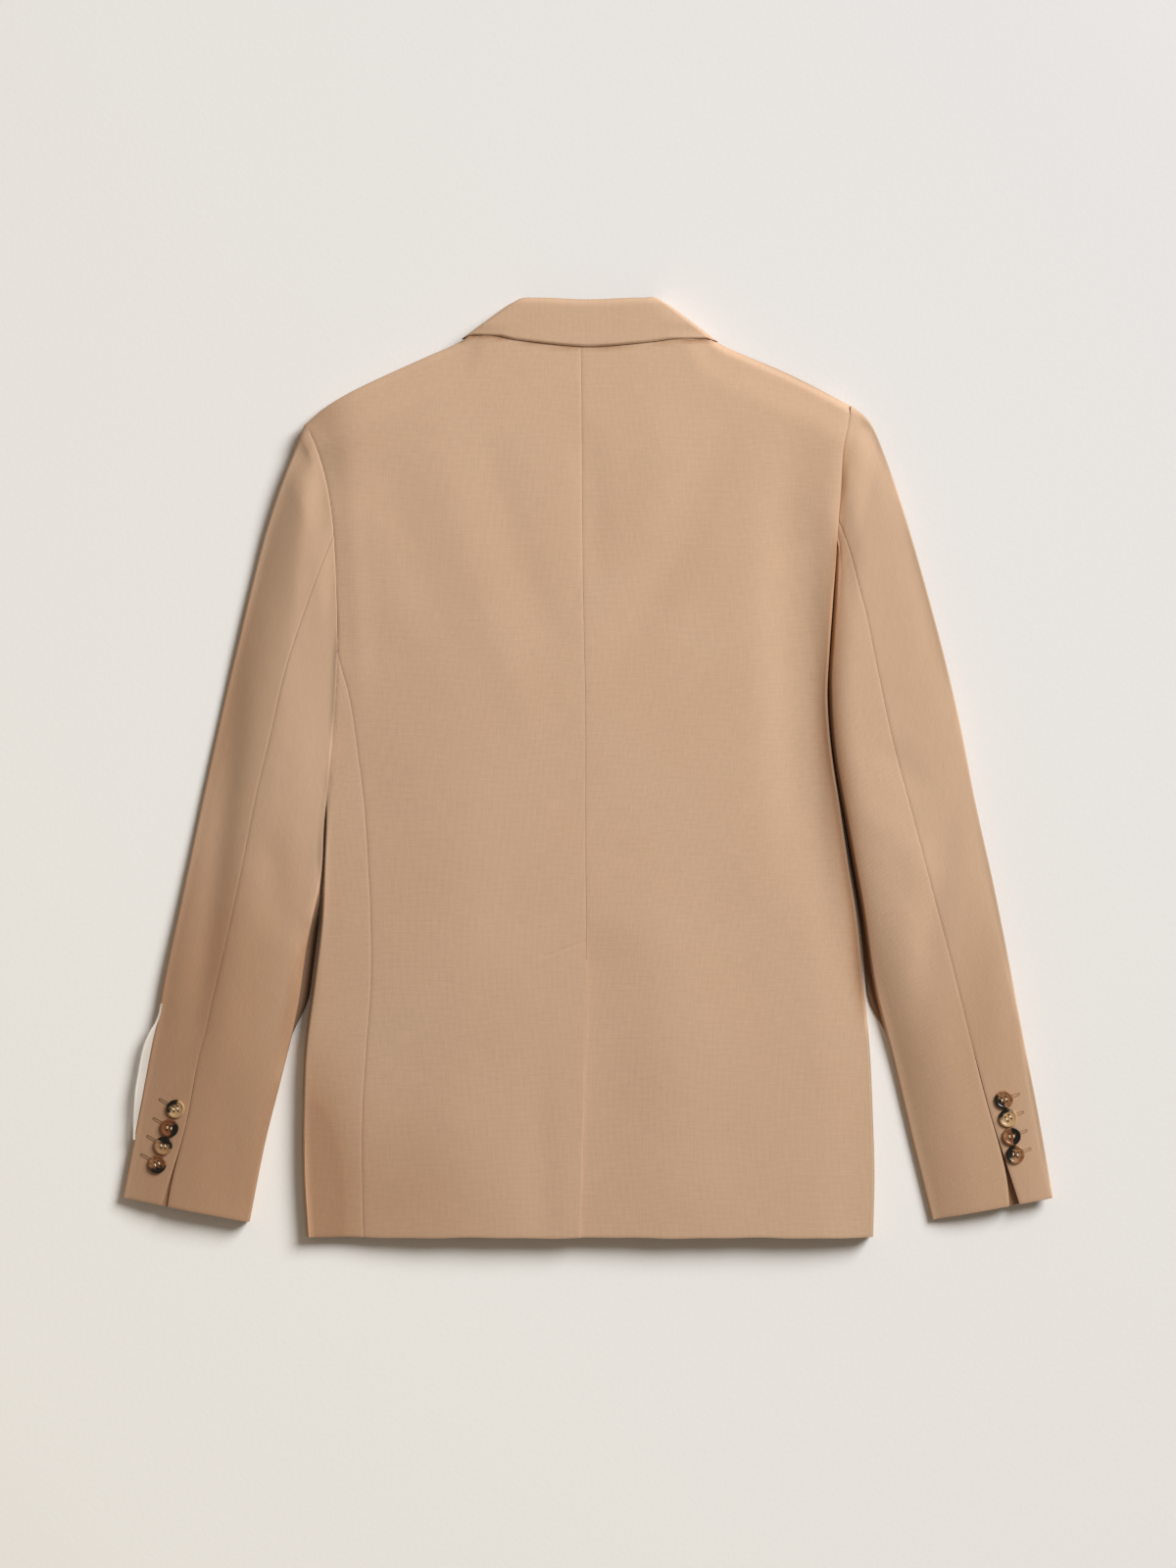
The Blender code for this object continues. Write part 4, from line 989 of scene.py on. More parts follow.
# Over what width a side comes down at the head and lower down, how much steeper it is
# at the fold, and the shares of the sleeve between which it changes.
Roll = namedtuple("Roll", "head_width width head_fall fall start end")
SLEEVE_ROLLS = {
    "left": (Roll(22, 54, 1.8, 1.6, 0.0, 0.3), Roll(26, 10, 1.5, 1.5, 0.0, 0.45)),
    "right": (Roll(18, 16, 1.5, 1.5, 0.0, 0.45), Roll(16, 42, 2.0, 2.0, 0.55, 0.8)),
}
FOLD_MID = (0.8, 0.5)  # how far up the outer and inner fold reach out furthest
UNDER_ANGLE = 70.0
SLEEVE_TUCK = 9.0      # an outer fold's lower half goes back under by this much
SLEEVE_FLARE = 12.0    # an inner fold's lower half fills the gap to the body, at most so far
SLEEVE_REST = 35.0     # how far the left sleeve takes to come down off the side panel
REST_TOP = 45.0        # it lies on the body up to this far above the armpit
REST_END = -140.0
REST_FADE = 70.0
SLEEVE_CLEAR = 1.5
SLEEVE_STEP = 0.02     # share of its length over which a sleeve's direction is taken
FOREARM_SEAM = 22.0    # forearm seam, in from the inner fold
CUFF_VENT = 0.84       # share of the sleeve's length at which the cuff's vent starts
CUFF_OPEN = 0.9        # share from which the vent stands open
CUFF_LAP = (9.0, 6.0, 3.0, 1.0, 0.2)         # columns of the under layer at the vent
CUFF_BOW = 2.2         # the higher, the later the under sleeve's edge draws away
CUFF_EARLY = 0.04      # the under layer starts to sink this share further up
CUFF_GAPE = {"left": 0.4, "right": 3.5}      # and sinks so far at the cuff
CUFF_LAP_SHADE = {"left": 0.3, "right": 1.0}    # and how much painted shade lies on it
CUFF_SLIT = {"left": 0.3, "right": 0.6}      # the vent shows as a fine dark line
CUFF_SLIT_FADE = 0.04
FILLING_SHADE = 1.6   # painted shade on the inner fold's lower half, in the dark of the gap
FILLING = (4, 11)      # and these of its steps make that half
HEAD_SHADE = 0.9      # painted shade on the right sleeve beside its armhole, over this width
HEAD_WIDTH = 7.0
HEAD_ENDS = (195.0, 30.0, 225.0, 45.0)
FLARE_GAP = 0.7        # an inner fold stops this far short of the body
FLARE_TOP = {"left": (0.0, 40.0), "right": (150.0, 30.0)}    # where it starts to, and over what
FLARE_END = -216.0
FLARE_FADE = 42.0
NIP_DEPTH = 1.2        # the left sleeve's outer fold is nipped in above the label
NIP_Y = -196.0
NIP_WIDTH = 11.0

# A sleeve from the armhole to the cuff. out, inner: its folds. seam, seam_under: back
# seam, as a share of the way in. edge_out, thick, edge_in: thickness across it.
Station = namedtuple("Station", "out inner seam seam_under edge_out thick edge_in")
SLEEVE_LEFT = [
    Station(-222 + 270.5j, -195.7 + 91j, 0.495, 0.495, 13, 20, 4),
    Station(-231 + 248j, -196.1 + 82j, 0.49, 0.49, 11.5, 20, 4),
    Station(-242 + 220j, -196.6 + 72j, 0.497, 0.497, 10, 20, 4),
    Station(-253.5 + 185j, -197.2 + 60j, 0.5, 0.5, 8.5, 20, 4),
    Station(-264 + 145j, -198.2 + 44j, 0.485, 0.485, 7.5, 20, 4.5),
    Station(-274.8 + 100j, -200.2 + 20j, 0.463, 0.463, 7, 20, 5),
    Station(-286.6 + 50j, -203 - 12j, 0.448, 0.448, 6.5, 20, 6.5),
    Station(-298.8 - 5j, -206.6 - 45j, 0.422, 0.422, 6, 20, 9.5),
    Station(-310.5 - 60j, -209.3 - 88j, 0.405, 0.405, 6, 19.5, 13.5),
    Station(-321.6 - 112j, -219.8 - 137j, 0.405, 0.405, 7, 19, 17),
    Station(-333 - 165j, -227.8 - 190j, 0.385, 0.385, 8, 18, 17),
    Station(-343.7 - 222j, -240.6 - 243j, 0.37, 0.37, 8, 17, 16),
    Station(-354.2 - 278j, -253.9 - 296j, 0.378, 0.388, 8, 15.5, 14.5),
    Station(-366 - 338j, -266 - 357j, 0.315, 0.36, 7.5, 14, 13),
]
SLEEVE_RIGHT = [
    Station(206.7 + 284.7j, 196 + 177j, 0.84, 0.84, 15, 18, 15),
    Station(222 + 271j, 195.3 + 168j, 0.808, 0.808, 15.5, 17.5, 14.5),
    Station(233.5 + 245j, 194.8 + 158j, 0.766, 0.766, 16, 17.5, 14.5),
    Station(244 + 215j, 194.4 + 146j, 0.728, 0.728, 16.5, 17.5, 14.5),
    Station(254.7 + 180j, 193.6 + 130j, 0.69, 0.69, 17, 17.5, 15),
    Station(266.2 + 140j, 191.9 + 104j, 0.626, 0.626, 17, 17.5, 15),
    Station(279 + 92j, 189.8 + 64j, 0.571, 0.571, 17.5, 18, 15),
    Station(292 + 37j, 192.9 + 13j, 0.535, 0.535, 17.5, 18, 15),
    Station(304.7 - 28j, 203.6 - 48j, 0.488, 0.488, 17.5, 18, 15),
    Station(318.5 - 90j, 215.2 - 110j, 0.454, 0.454, 17, 17.5, 13),
    Station(330.5 - 150j, 225 - 170j, 0.41, 0.41, 16, 16.5, 8),
    Station(342 - 210j, 240.5 - 230j, 0.393, 0.395, 14.5, 15, 5.5),
    Station(354 - 270j, 254.5 - 289j, 0.362, 0.37, 13, 13.5, 5),
    Station(366 - 338j, 271 - 356j, 0.28, 0.36, 11.5, 12, 5),
]
SLEEVE_CREASES = {
    "left": [
        (-250, 230, -298, -20, 13, -1.0, 4),      # the long valley down to the elbow
        (-272, 110, -314, -260, 12, -3.0, 2),
        (-222, 90, -250, -160, 16, 1.0, 6),
        (-252, -40, -238, -140, 13, -1.2, 0),
        (-292, -200, -276, -400, 18, -0.8, 0),
    ],
    "right": [
        (204, 290, 206, 110, 7, -1.4, 0),         # trough beside the armhole
        (240, 180, 264, 10, 16, 0.5, 4),
        (226, 24, 270, -26, 12, -0.9, 0),         # slack at the elbow
        (212, -20, 276, -110, 15, 1.0, 6),
        (295, 0, 264, -230, 12, -1.2, -8),
        (332, -90, 314, -250, 14, 0.8, 0),
    ],
}


def side_rest(place):
    """Underside of the left sleeve: over the body's side, then down to the surface."""
    x, y = place.real, place.imag
    fold = body("fold_left", y)
    over = back_form(np.maximum(x, fold) + 1j * np.minimum(y, ARMPIT_LEFT)) + SLEEVE_CLEAR
    beside = smooth((ARMPIT_LEFT + REST_TOP - y) / REST_TOP) * smooth((y - REST_END) / REST_FADE)
    return over * beside * smooth(1.0 + (x - fold) / SLEEVE_REST)


def flat_rest(place):
    return 0.0 * place.real


def nip(y):
    """How far the left sleeve's outer fold is nipped in at a height."""
    return dip(y - NIP_Y, NIP_DEPTH, NIP_WIDTH)


def sleeve_form(side, stations, armhole, shift, rests):
    """A sleeve's form at u across and s down its length, 0 at the outer fold and the head."""
    first = stations[0]
    noses = SLEEVE_NOSES[side]

    def spot(u, s):
        bow = path(armhole, u) - mix(first.out, first.inner, u)
        sewn = shift * smooth(1.0 - s / ARMHOLE_SEWN)
        out = along(stations, "out", s)
        if side == "left":
            out = out + nip(out.imag)
        line = mix(out, along(stations, "inner", s), u)
        return line + bow * smooth(1.0 - s / ARMHOLE_FADE) + sewn

    def width(s):
        return abs(spot(0.0, s) - spot(1.0, s))

    def heading(u, s, step):
        """The way down the sleeve, taken over a step each side."""
        return spot(u, np.minimum(s + step, 1.0)) - spot(u, np.maximum(s - step, 0.0))

    def slant(u, s, least):
        """Sine of the angle between a row and the line that runs down through it."""
        across = spot(1.0, s) - spot(0.0, s)
        down = heading(u, s, SLEEVE_STEP)
        sine = (across.conjugate() * down).imag / abs(across) / abs(down)
        return np.maximum(abs(sine), least)

    def heights(u, s):
        thick = along(stations, "thick", s)
        here = spot(u, s)
        low_in = rests(spot(1.0, s))
        outer, inner = u * width(s), (1.0 - u) * width(s) * slant(1.0, s, least=0.5)
        shares = []
        for roll, reach in zip(SLEEVE_ROLLS[side], (outer - noses[0], inner - noses[1])):
            lower = smooth((s - roll.start) / (roll.end - roll.start))
            share = 1 - np.clip(reach / mix(roll.head_width, roll.width, lower), 0.0, 1.0)
            shares.append(share ** mix(roll.head_fall, roll.fall, lower))
        outer_drop = (thick - along(stations, "edge_out", s)) * shares[0]
        inner_drop = (thick - along(stations, "edge_in", s) - low_in) * shares[1]
        rolled = lift(SLEEVE_CREASES[side], here) + ease(here)
        return thick - np.maximum(outer_drop, inner_drop) + rolled, rests(here)

    return spot, width, heading, slant, heights


def make_sleeve(side, stations, armhole, shift, rests):
    """Top and under sleeve, joined by the back seam on top and the forearm seam below."""
    spot, width, heading, slant, heights = sleeve_form(side, stations, armhole, shift, rests)
    s = marks(SLEEVE_LENGTH, step=SLEEVE_ROW)[:, None]

    def lap(inset):
        """The strip of the under sleeve that runs on beneath the top sleeve at the vent."""
        u = along(stations, "seam_under", s) - np.array(CUFF_LAP) / width(s)
        gape = CUFF_GAPE[side] * smooth((s - CUFF_OPEN + CUFF_EARLY) / (1.0 - CUFF_OPEN))
        return spot(u, s), heights(u, s)[0] - CLOTH - LAY / 2 - gape - inset

    def inward(fold):
        """Straight in from a fold, but near the armhole leaning along its line."""
        down = heading(fold, s, SLEEVE_STEP / 2)
        across = spot(1.0 - fold, s) - spot(fold, s)
        across = across / abs(across)
        square = -1j * down / abs(down)
        middle = spot(1.0 - fold, 0.5) - spot(fold, 0.5)
        square = square * np.where((square.conjugate() * middle).real < 0.0, -1.0, 1.0)
        start = across + square * fold
        lean = mix(start / abs(start), square, smooth(s / ARMHOLE_TURN))
        return lean / abs(lean)

    def nose(fold):
        """Reach of a fold's nose; the outer one starts as round as the shoulder."""
        reach = SLEEVE_NOSES[side][int(fold)]
        return mix(reach / 2 if fold else SHOULDER_NOSE, reach, smooth(s / ARMHOLE_TURN))

    def folded(fold, reach):
        """Places in from a fold: along the armhole at the head, square to the fold below."""
        seamed = spot(abs(fold - reach / width(s)), s)
        return mix(seamed, spot(fold, s) + inward(fold) * reach, smooth(s / ARMHOLE_SQUARE))

    def round_fold(angles, inset, fold):
        low = rests(spot(1.0, s)) if fold else 0.0 * s
        top = level(abs(fold - nose(fold) / width(s)), folded(fold, nose(fold)))
        flat = np.where(angles > 0, top, low)
        mid = mix(low, top, FOLD_MID[int(fold)])
        reach, z = turned(np.radians(abs(angles)), flat, mid, nose(fold), inset)
        under = np.where(angles < 0, smooth(-angles / UNDER_ANGLE), 0.0)
        return folded(fold, reach - under * (flare() if fold else -SLEEVE_TUCK)), z

    def flare():
        """How far the lower half of the inner fold runs out, to just short of the body."""
        inner = spot(1.0, s)
        y = inner.imag
        gap = (body("fold_" + side, y) - inner.real) * (1 if side == "left" else -1)
        top, fade = FLARE_TOP[side]
        reach = np.clip(gap - FLARE_GAP, 0.0, SLEEVE_FLARE)
        return reach * smooth((top - y) / fade) * smooth((y - FLARE_END) / FLARE_FADE)

    def level(u, place):
        """Height of the top face; near its head it comes level with the body."""
        above = heights(u, s)[0]
        from_body = back_top(place[:1]) - above[:1]
        near_body = smooth(1.0 - abs(place - place[:1]) / ARMHOLE_MEET)
        return above + from_body * near_body * (1 - smooth((u - LEVEL_FROM) / LEVEL_OVER))

    def face(share, inset, fold, seam, top):
        slit = smooth((s - CUFF_VENT) / CUFF_SLIT_FADE)
        open_gap = mix(SEAM, CUFF_SLIT[side], slit) if top else SEAM
        half_gap = open_gap / 2 / width(s) / slant(seam, s, least=0.25)
        seam = seam + (half_gap if fold else -half_gap)
        near = abs(fold - nose(fold) / width(s))
        u = mix(seam, near, share)
        place = spot(u, s) + (folded(fold, nose(fold)) - spot(near, s)) * share
        z = level(u, place) - inset if top else rests(place) + inset
        if inset == 0.0 and top:
            sewn = mix(SEAM_DIP, EDGE_ROUND, smooth((s - CUFF_VENT) / CUFF_SLIT_FADE * 2))
            z = z - dip(abs(place - place[:, :1]), sewn) - dip(abs(place - place[:1]), ARMHOLE_DIP)
            z = z - dip(abs(place - place[-1:]), EDGE_ROUND)
        return place, z

    forearm = 1.0 - FOREARM_SEAM / slant(1.0, s, least=0.35) / width(s)
    share = marks(SLEEVE_FACE, end=False)
    opened = np.clip((s - CUFF_OPEN) / (1 - CUFF_OPEN), 0.0, 1.0) ** CUFF_BOW
    first_row = int(np.sum(s < CUFF_VENT))
    lapped = len(CUFF_LAP)
    for name, fold, column, across, filled in SLEEVE_HALVES:
        seam = along(stations, "seam", s)
        seam = seam + (along(stations, column, s) - seam) * opened
        skins = []
        for inset in (0.0, CLOTH):
            parts = [lap(inset)] if fold else []
            parts += [
                face(share, inset, fold, seam, True), round_fold(FOLD_ANGLES, inset, fold),
                face(share[::-1], inset, fold, forearm, False)]
            skins.append([np.concatenate([part[k] for part in parts], axis=1) for k in (0, 1)])
        place = skins[0][0]
        # Painted shade: on the vent's under layer, on the inner fold's lower half in the gap, and
        # beside the right armhole.
        extra_shade = np.zeros(place.shape)
        if fold:
            fold_start = lapped + len(share)
            extra_shade[:, :lapped] = CUFF_LAP_SHADE[side]
            filling = slice(fold_start + FILLING[0], fold_start + FILLING[1])
            extra_shade[:, filling] = FILLING_SHADE * smooth(flare() / 2.0)
        if side == "right":
            head = stretch(place.imag, *HEAD_ENDS)
            extra_shade += HEAD_SHADE * head * np.exp(-(abs(place - place[:1]) / HEAD_WIDTH) ** 2)
        piece = shell(name + side + "_cloth", *skins, extra_shade=extra_shade,
                      keep=lambda i, j: i >= first_row or j >= lapped or not fold)
        finish_cloth(piece, name + side, wool)
    return spot, heights


sleeve_left = make_sleeve("left", SLEEVE_LEFT, ARMHOLE_LEFT, -ARMHOLE_GAP, side_rest)
sleeve_right = make_sleeve("right", SLEEVE_RIGHT, ARMHOLE_RIGHT, ARMHOLE_GAP, flat_rest)


# ---------------------------------------------------------------- cuff label
# A plain strip of off-white tape, sewn in along the top of the left sleeve's outer
# fold. Its free edge is pinked, a row of fine teeth, so that it doesn't fray.

TAPE_EDGE = [
    -336.4 - 185.5j, -338 - 194j, -340.6 - 200.5j, -344.2 - 206j, -350.2 - 220j,
    -354.6 - 243j, -356.6 - 256j, -357.8 - 276j, -357.9 - 293j,
]
TAPE_CLOTH = 0.5
TAPE_CAUGHT = 0.2      # how far it runs on over the sleeve's fold
TAPE_FOLD_Z = 9.0      # its height there, and along its free edge, once it is this wide
TAPE_FREE_Z = 8.0
TAPE_WIDE = 6.0
TAPE_TIP = 1.3         # its width where it tapers out
TAPE_WAVE = 0.25       # its free edge isn't quite flat
TAPE_COLUMNS = np.array([0.0, 0.12, 0.3, 0.55, 0.8, 1.0])
TAPE_WHITE = ("#F8F5EF", "#F4F0E8", "#F6F0E6", "#F6F2EA")    # as woven() takes them
TOOTH = 2.1            # pitch of the pinking, and its depth
TOOTH_DEEP = 1.2


def make_cuff_label():
    edge = np.array(TAPE_EDGE)
    out = np.array([row.out for row in SLEEVE_LEFT])
    y = np.arange(edge[0].imag, edge[-1].imag, -TOOTH / 2)
    teeth = TOOTH_DEEP * (np.arange(len(y)) % 2)
    free = cubic(-edge.imag, edge.real, -y) + teeth
    caught = np.maximum(cubic(-out.imag, out.real, -y) + nip(y) + TAPE_CAUGHT, free + TAPE_TIP)
    share = TAPE_COLUMNS
    place = mix(free[:, None], caught[:, None], share) + 1j * y[:, None]
    span = (caught - free)[:, None]
    droop = (TAPE_FREE_Z - TAPE_FOLD_Z) * smooth(span / TAPE_WIDE) * (1 - share ** 1.6)
    top = TAPE_FOLD_Z + droop + TAPE_WAVE * np.sin(y / 7.0)[:, None] * (1 - share)
    # The tape is painted a shade deeper in from its free edge, and takes none of the wool's painted
    # shade.
    middle = smooth(share / 0.2) - painted_shade(place)
    piece = shell("cuff_label_tape", (place, top), (place, top - TAPE_CLOTH), extra_shade=middle)
    tape = woven("bleached_cotton_tape", *TAPE_WHITE, 0.04)
    finish_cloth(piece, "cuff_label", tape)


make_cuff_label()


# ---------------------------------------------------------------- buttons
# Four-hole buttons of mottled horn, dished inside a raised rim: four kissing at each cuff,
# each sewn on with two bars of cream thread, and two larger ones face down in front.

BUTTON_RADIUS = 7.2
BUTTON_THICK = 2.2
BUTTON_SINK = 0.2      # the cloth gives a little beneath
FRONT_RADIUS = 10.0
FRONT_THICK = 2.5
BUTTON_RIM = 0.22      # shares of the radius: the rim, and the slope down into the dish
BUTTON_SLOPE = 0.13
BUTTON_DISH = 0.5      # depth of the dish
BUTTON_BEVEL = 0.45
BUTTON_SIDES = 48
EYE_RADIUS = 0.15      # shares of the radius: a hole, and how far each is off the middle
EYE_OFF = 0.235
EYE_SIDES = 16
SEAT_ACROSS = (0.02, 0.6, 90)    # where on a sleeve a button's seat is looked for
SEAT_DOWN = (0.75, 1.0, 150)
MOTTLE_SPAN = 7.0      # buttons take their mottling from places this far apart
THREAD_RADIUS = 0.5
THREAD_RISE = 0.15     # a bar's middle stands this far over the dish
THREAD_BAR = 2.6       # length of a bar: it dips into the holes and leaves half of each open
HORN_BLACK = "#120D0A"
HORN_AMBER = "#7B4B2C"
HORN_BLOND = "#BC9A72"
COTTON_CREAM = "#F2E4C4"

# place, turn of its holes, where its black patch is (degrees), how black, how blond
Horn = namedtuple("Horn", "place turn black_at black blond")
HORNS_LEFT = [
    Horn(-323.4 - 267.8j, 8, 140, 0.40, 0.80), Horn(-328.3 - 282.9j, -14, -25, 0.52, -0.10),
    Horn(-333.2 - 296.9j, -6, 55, 0.50, 0.45), Horn(-338 - 311.4j, 24, -85, 0.45, 0.25),
]
HORNS_RIGHT = [
    Horn(326.9 - 260.6j, 14, 215, 0.48, 0.30), Horn(330.2 - 274.9j, 35, 120, 0.34, 0.90),
    Horn(333 - 289.4j, 4, 5, 0.50, 0.25), Horn(336 - 303.7j, -8, 165, 0.52, 0.35),
]
HORNS_FRONT = {
    "upper": Horn(-28 - 22j, 10, 40, 0.5, 0.4), "lower": Horn(-28 - 125j, 10, 160, 0.5, 0.4),
}


def choose(*pieces):
    """Selects these pieces alone, the first as the active one, or nothing at all."""
    bpy.ops.object.select_all(action="DESELECT")
    for piece in pieces:
        piece.select_set(True)
    if pieces:
        bpy.context.view_layer.objects.active = pieces[0]


def cut_button(radius, thick):
    """One button about the origin, its face up."""
    choose()
    bpy.ops.mesh.primitive_cylinder_add(
        vertices=BUTTON_SIDES, radius=radius * MM, depth=thick * MM)
    button = bpy.context.object
    bpy.ops.object.mode_set(mode="EDIT")
    bpy.ops.mesh.select_mode(type="FACE")
    bpy.ops.mesh.select_all(action="DESELECT")
    edit = bmesh.from_edit_mesh(button.data)
    for face in edit.faces:
        face.select_set(face.normal.z > 0.9)
    bmesh.update_edit_mesh(button.data)
    bpy.ops.mesh.inset(thickness=BUTTON_RIM * radius * MM)
    bpy.ops.mesh.inset(thickness=BUTTON_SLOPE * radius * MM, depth=-BUTTON_DISH * MM)
    bpy.ops.object.mode_set(mode="OBJECT")
    bevel = button.modifiers.new("soft_edges", "BEVEL")
    bevel.width = BUTTON_BEVEL * MM
    bevel.segments = 3
    bevel.limit_method = "ANGLE"
    bevel.angle_limit = math.radians(20)
    bpy.ops.object.modifier_apply(modifier=bevel.name)
    off = EYE_OFF * radius * MM
    for x, y in ((-off, -off), (-off, off), (off, -off), (off, off)):
        choose()
        bpy.ops.mesh.primitive_cylinder_add(
            vertices=EYE_SIDES, radius=EYE_RADIUS * radius * MM, depth=4 * thick * MM,
            location=(x, y, 0.0))
        drill = bpy.context.object
        choose(button)
        eye = button.modifiers.new("eye", "BOOLEAN")
        eye.operation = "DIFFERENCE"
        eye.object = drill
        bpy.ops.object.modifier_apply(modifier=eye.name)
        bpy.data.objects.remove(drill)
    bpy.ops.object.shade_smooth_by_angle(angle=math.radians(35))
    return button


def polished_horn():
    """Polished horn: amber and blond with black patches, clear and glossy."""
    made, tree, shader = surface("polished_horn")
    disc = carried(tree, "disc")
    mood = carried(tree, "mood")
    black, blond = [add(tree, "ShaderNodeSeparateXYZ", {"Vector": mood}, way) for way in ("X", "Y")]
    toward = add(tree, "ShaderNodeSeparateXYZ", {"Vector": disc}, "X")
    near = figure(tree, "MULTIPLY_ADD", toward, 0.8, black)
    level = figure(tree, "MULTIPLY_ADD", noise(tree, disc, 1.7, 3.0), 1.3, near)
    streak = noise(tree, disc, 1.1, 2.0, Distortion=1.2)
    pale = ranged(tree, figure(tree, "ADD", streak, blond), 0.7, 1.3)
    clear = blend(tree, pale, linear(HORN_AMBER), linear(HORN_BLOND))
    horn = blend(tree, ranged(tree, level, 1.22, 1.46), clear, linear(HORN_BLACK))
    plug(tree, shader, {"Base Color": horn, "Roughness": 0.28, "IOR": 1.56})
    return made


def cotton_thread(name, colour):
    """Waxed cotton: matt, a little rough to the eye."""
    made, tree, shader = surface(name)
    plug(tree, shader, {"Base Color": linear(colour), "Roughness": 0.75, "IOR": 1.5,
                        "Specular IOR Level": 0.3})
    return made


def seat(sleeve, place, reach):
    """The flat seat that a sleeve's top face gives a button: its height and its tilt."""
    spot, heights = sleeve
    u, s = np.meshgrid(np.linspace(*SEAT_ACROSS), np.linspace(*SEAT_DOWN))
    off, z = spot(u, s) - place, heights(u, s)[0]
    near = abs(off) < reach
    grid = np.column_stack([off.real[near], off.imag[near], np.ones(near.sum())])
    slope_x, slope_y, middle = np.linalg.lstsq(grid, z[near], rcond=None)[0]
    lift_off = np.max(z[near] - grid @ [slope_x, slope_y, middle])
    return middle + 0.5 * lift_off, Vector((-slope_x, -slope_y, 1.0)).normalized()


def set_down(mesh, place, height, up, turn):
    """Moves a mesh made about the origin to its place on the garment."""
    lean = Vector((0.0, 0.0, 1.0)).rotation_difference(up).to_matrix().to_4x4()
    base = Vector((place.real, place.imag, height)) * MM
    mesh.transform(Matrix.Translation(base) @ lean @ Matrix.Rotation(math.radians(turn), 4, "Z"))


def make_button(name, node, pattern, horn, radius, height, up):
    """A copy of a pattern in its own place, with its own mottling."""
    mesh = pattern.data.copy()
    mesh.name = name
    local = np.array([tuple(v.co) for v in mesh.vertices]) / MM / radius
    spot = (local[:, 0] + 1j * local[:, 1]) * np.exp(1j * math.radians(horn.turn - horn.black_at))
    seed = abs(horn.place) % MOTTLE_SPAN
    disc = np.column_stack([spot.real, spot.imag, local[:, 2] + seed])
    mood = np.tile([horn.black, horn.blond, seed], (len(local), 1))
    for key, value in (("disc", disc), ("mood", mood)):
        mesh.attributes.new(key, "FLOAT_VECTOR", "POINT").data.foreach_set("vector", value.ravel())
    set_down(mesh, horn.place, height, up, horn.turn)
    piece = put(name, mesh)
    piece.data.materials.append(horn_look)
    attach(piece, "root")
    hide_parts(node)


def sewing_bar(radius, length):
    """A bar of thread lying across the face between two holes."""
    choose()
    bpy.ops.mesh.primitive_uv_sphere_add(segments=12, ring_count=8, radius=radius * MM)
    bar = bpy.context.object
    bpy.ops.object.mode_set(mode="EDIT")
    bpy.ops.mesh.select_all(action="SELECT")
    bpy.ops.transform.resize(value=(1.0, length / radius / 2, 0.8), center_override=(0.0, 0.0, 0.0))
    bpy.ops.object.mode_set(mode="OBJECT")
    bar.data.shade_smooth()
    return bar


def join_pieces(name, pieces, material):
    """Joins finished bits into one piece that rides with the garment."""
    choose(*pieces)
    bpy.ops.object.join()
    joined = bpy.context.object
    joined.name = name
    joined.data.name = name
    joined.data.materials.clear()
    joined.data.materials.append(material)
    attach(joined, "root")
    return joined


def copy_to(bit, change, place, height, up, turn):
    """A copy of a bit, first moved or sized about the origin, then set down."""
    mesh = bit.data.copy()
    mesh.transform(change)
    set_down(mesh, place, height, up, turn)
    return put(bit.name + "_copy", mesh)


def make_cuff_buttons(side, horns, sleeve):
    face = BUTTON_THICK / 2 - BUTTON_DISH + THREAD_RISE
    eye = EYE_OFF * BUTTON_RADIUS
    bars = []
    for k, horn in enumerate(horns, 1):
        base, up = seat(sleeve, horn.place, BUTTON_RADIUS)
        middle = base + BUTTON_THICK / 2 - BUTTON_SINK
        make_button(f"horn_button_{side}_{k}", f"cuff_button_{side}_{k}", cuff_pattern, horn,
                    BUTTON_RADIUS, middle, up)
        for x in (-eye, eye):
            shift = Matrix.Translation(Vector((x, 0.0, face)) * MM)
            bars.append(copy_to(cream_bar, shift, horn.place, middle, up, horn.turn))
    join_pieces("cuff_button_thread_" + side, bars, cream_thread)


horn_look = polished_horn()
cream_thread = cotton_thread("cream_button_thread", COTTON_CREAM)
cuff_pattern = cut_button(BUTTON_RADIUS, BUTTON_THICK)
cream_bar = sewing_bar(THREAD_RADIUS, THREAD_BAR)
make_cuff_buttons("left", HORNS_LEFT, sleeve_left)
make_cuff_buttons("right", HORNS_RIGHT, sleeve_right)

front_pattern = cut_button(FRONT_RADIUS, FRONT_THICK)
for name, horn in HORNS_FRONT.items():
    make_button("horn_front_button_" + name, "front_button_" + name, front_pattern, horn,
                FRONT_RADIUS, FRONT_THICK / 2, Vector((0.0, 0.0, -1.0)))
for pattern in (cuff_pattern, front_pattern, cream_bar):
    bpy.data.objects.remove(pattern)


# ---------------------------------------------------------------- buttonholes
# Sham buttonholes on the cuffs, whipped in brown silk: two fine rows of stitches that
# run out from under each button, with a round eye at the far end.

# One brown silk, painted as a shaded copy on the left cuff and a lit copy on the right.
SILK_SHADED = "#5B3C28"
SILK_LIT = "#94694A"
STITCH = (0.3, 0.34, 0.16)   # half sizes of one stitch, across the row, along it and up
STITCH_STEP = 0.55
STITCH_RISE = 0.1
HOLE_HALF = 0.9        # each row's distance from the middle line
HOLE_START = 2.0       # the rows start this far in under the button's rim
HOLE_SEAT = 0.8        # the cloth's height is taken at this share of the way, over a reach
HOLE_REACH = 6.0
RING_RADIUS = 0.95     # the eye's ring of stitches, open towards the rows
RING_ANGLES = np.arange(-140.0, 141.0, 28.0)
HOLE_LEFT = -12.4 + 7.0j     # from a button's middle to the eye
HOLE_RIGHT = 11.6 + 4.4j


